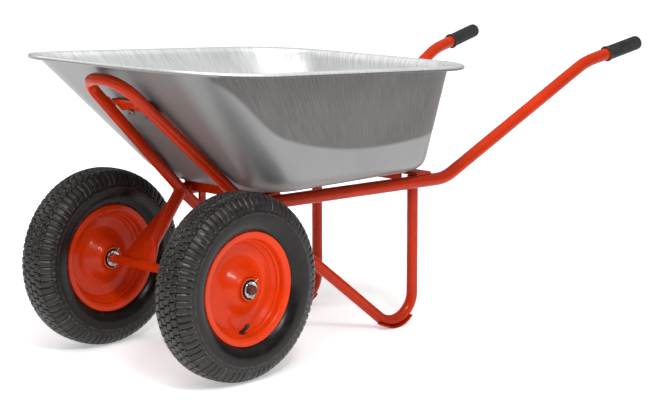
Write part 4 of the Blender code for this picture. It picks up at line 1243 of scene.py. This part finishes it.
def build_floor():
    """A pale matt floor that glows a little, to stay white in the shadows."""
    mesh = bpy.data.meshes.new("floor")
    signs = ((-1, -1), (1, -1), (1, 1), (-1, 1))
    mesh.from_pydata([(x * FLOOR_SIZE, y * FLOOR_SIZE, 0) for x, y in signs], [], [(0, 1, 2, 3)])
    white = (1.0, 1.0, 1.0, 1.0)
    s = Shade("floor_white", Emission_Color=white, Emission_Strength=0.42)
    tone = s.mix(s.noise(0.8, 1.0), *FLOOR_WHITES)
    mesh.materials.append(s.finish(tone, 0.9, s.bump(s.noise(40.0, 1.0), 0.0001, 0.05)))
    place_object("floor", mesh)


def build_sky():
    """A sky that is dark at the horizon and pale above."""
    world = bpy.data.worlds.new("studio")
    bpy.context.scene.world = world
    world.use_nodes = True
    nodes, links = world.node_tree.nodes, world.node_tree.links
    direction = nodes.new("ShaderNodeTexCoord").outputs["Generated"]
    split = nodes.new("ShaderNodeSeparateXYZ")
    links.new(direction, split.inputs[0])
    ramp = nodes.new("ShaderNodeValToRGB")
    for stop, (position, grey) in zip(ramp.color_ramp.elements, SKY):
        stop.position = position
        stop.color = (grey, grey, grey, 1)
    background = nodes["Background"]
    links.new(split.outputs[2], ramp.inputs[0])
    links.new(ramp.outputs[0], background.inputs["Color"])
    background.inputs["Strength"].default_value = SKY_STRENGTH


def add_light(name, light, direction):
    obj = place_object(name, light)
    obj.rotation_mode = "QUATERNION"
    obj.rotation_quaternion = direction.to_track_quat("-Z", "Y")
    return obj


def build_lights():
    """Three soft boxes and a wide, soft sun."""
    for name, (place, size, watts) in LIGHTS.items():
        light = bpy.data.lights.new(name, "AREA")
        light.size = size
        light.energy = watts
        add_light(name, light, LIGHT_TARGET - Vector(place)).location = place
    sun = bpy.data.lights.new("sun", "SUN")
    sun.energy = 1.3
    sun.angle = math.radians(50)
    add_light("sun", sun, SUN_DIRECTION)


def build_camera():
    """The view from the left and ahead, a little above the rim."""
    camera = bpy.data.cameras.new("camera")
    camera.sensor_fit = "HORIZONTAL"
    camera.sensor_width = 36.0
    camera.lens = CAMERA_LENS
    camera.clip_end = 100.0
    obj = place_object("camera", camera)
    obj.location = CAMERA_PLACE
    aim = (CAMERA_TARGET - CAMERA_PLACE).to_track_quat("-Z", "Y").to_matrix()
    obj.rotation_euler = (aim @ Matrix.Rotation(CAMERA_ROLL, 3, "Z")).to_euler()
    bpy.context.scene.camera = obj
    view = bpy.context.scene.view_settings
    view.view_transform = "Standard"
    view.look = "None"


paint_kept_nodes()
build_tray()
build_frame_tubes()
for side_name, sign in SIDES.items():
    build_strut(side_name, sign)
    build_grip(side_name, sign)
build_welds()
build_plates()
build_bolts()
build_axle()
build_wheels()
build_floor()
build_sky()
build_lights()
build_camera()
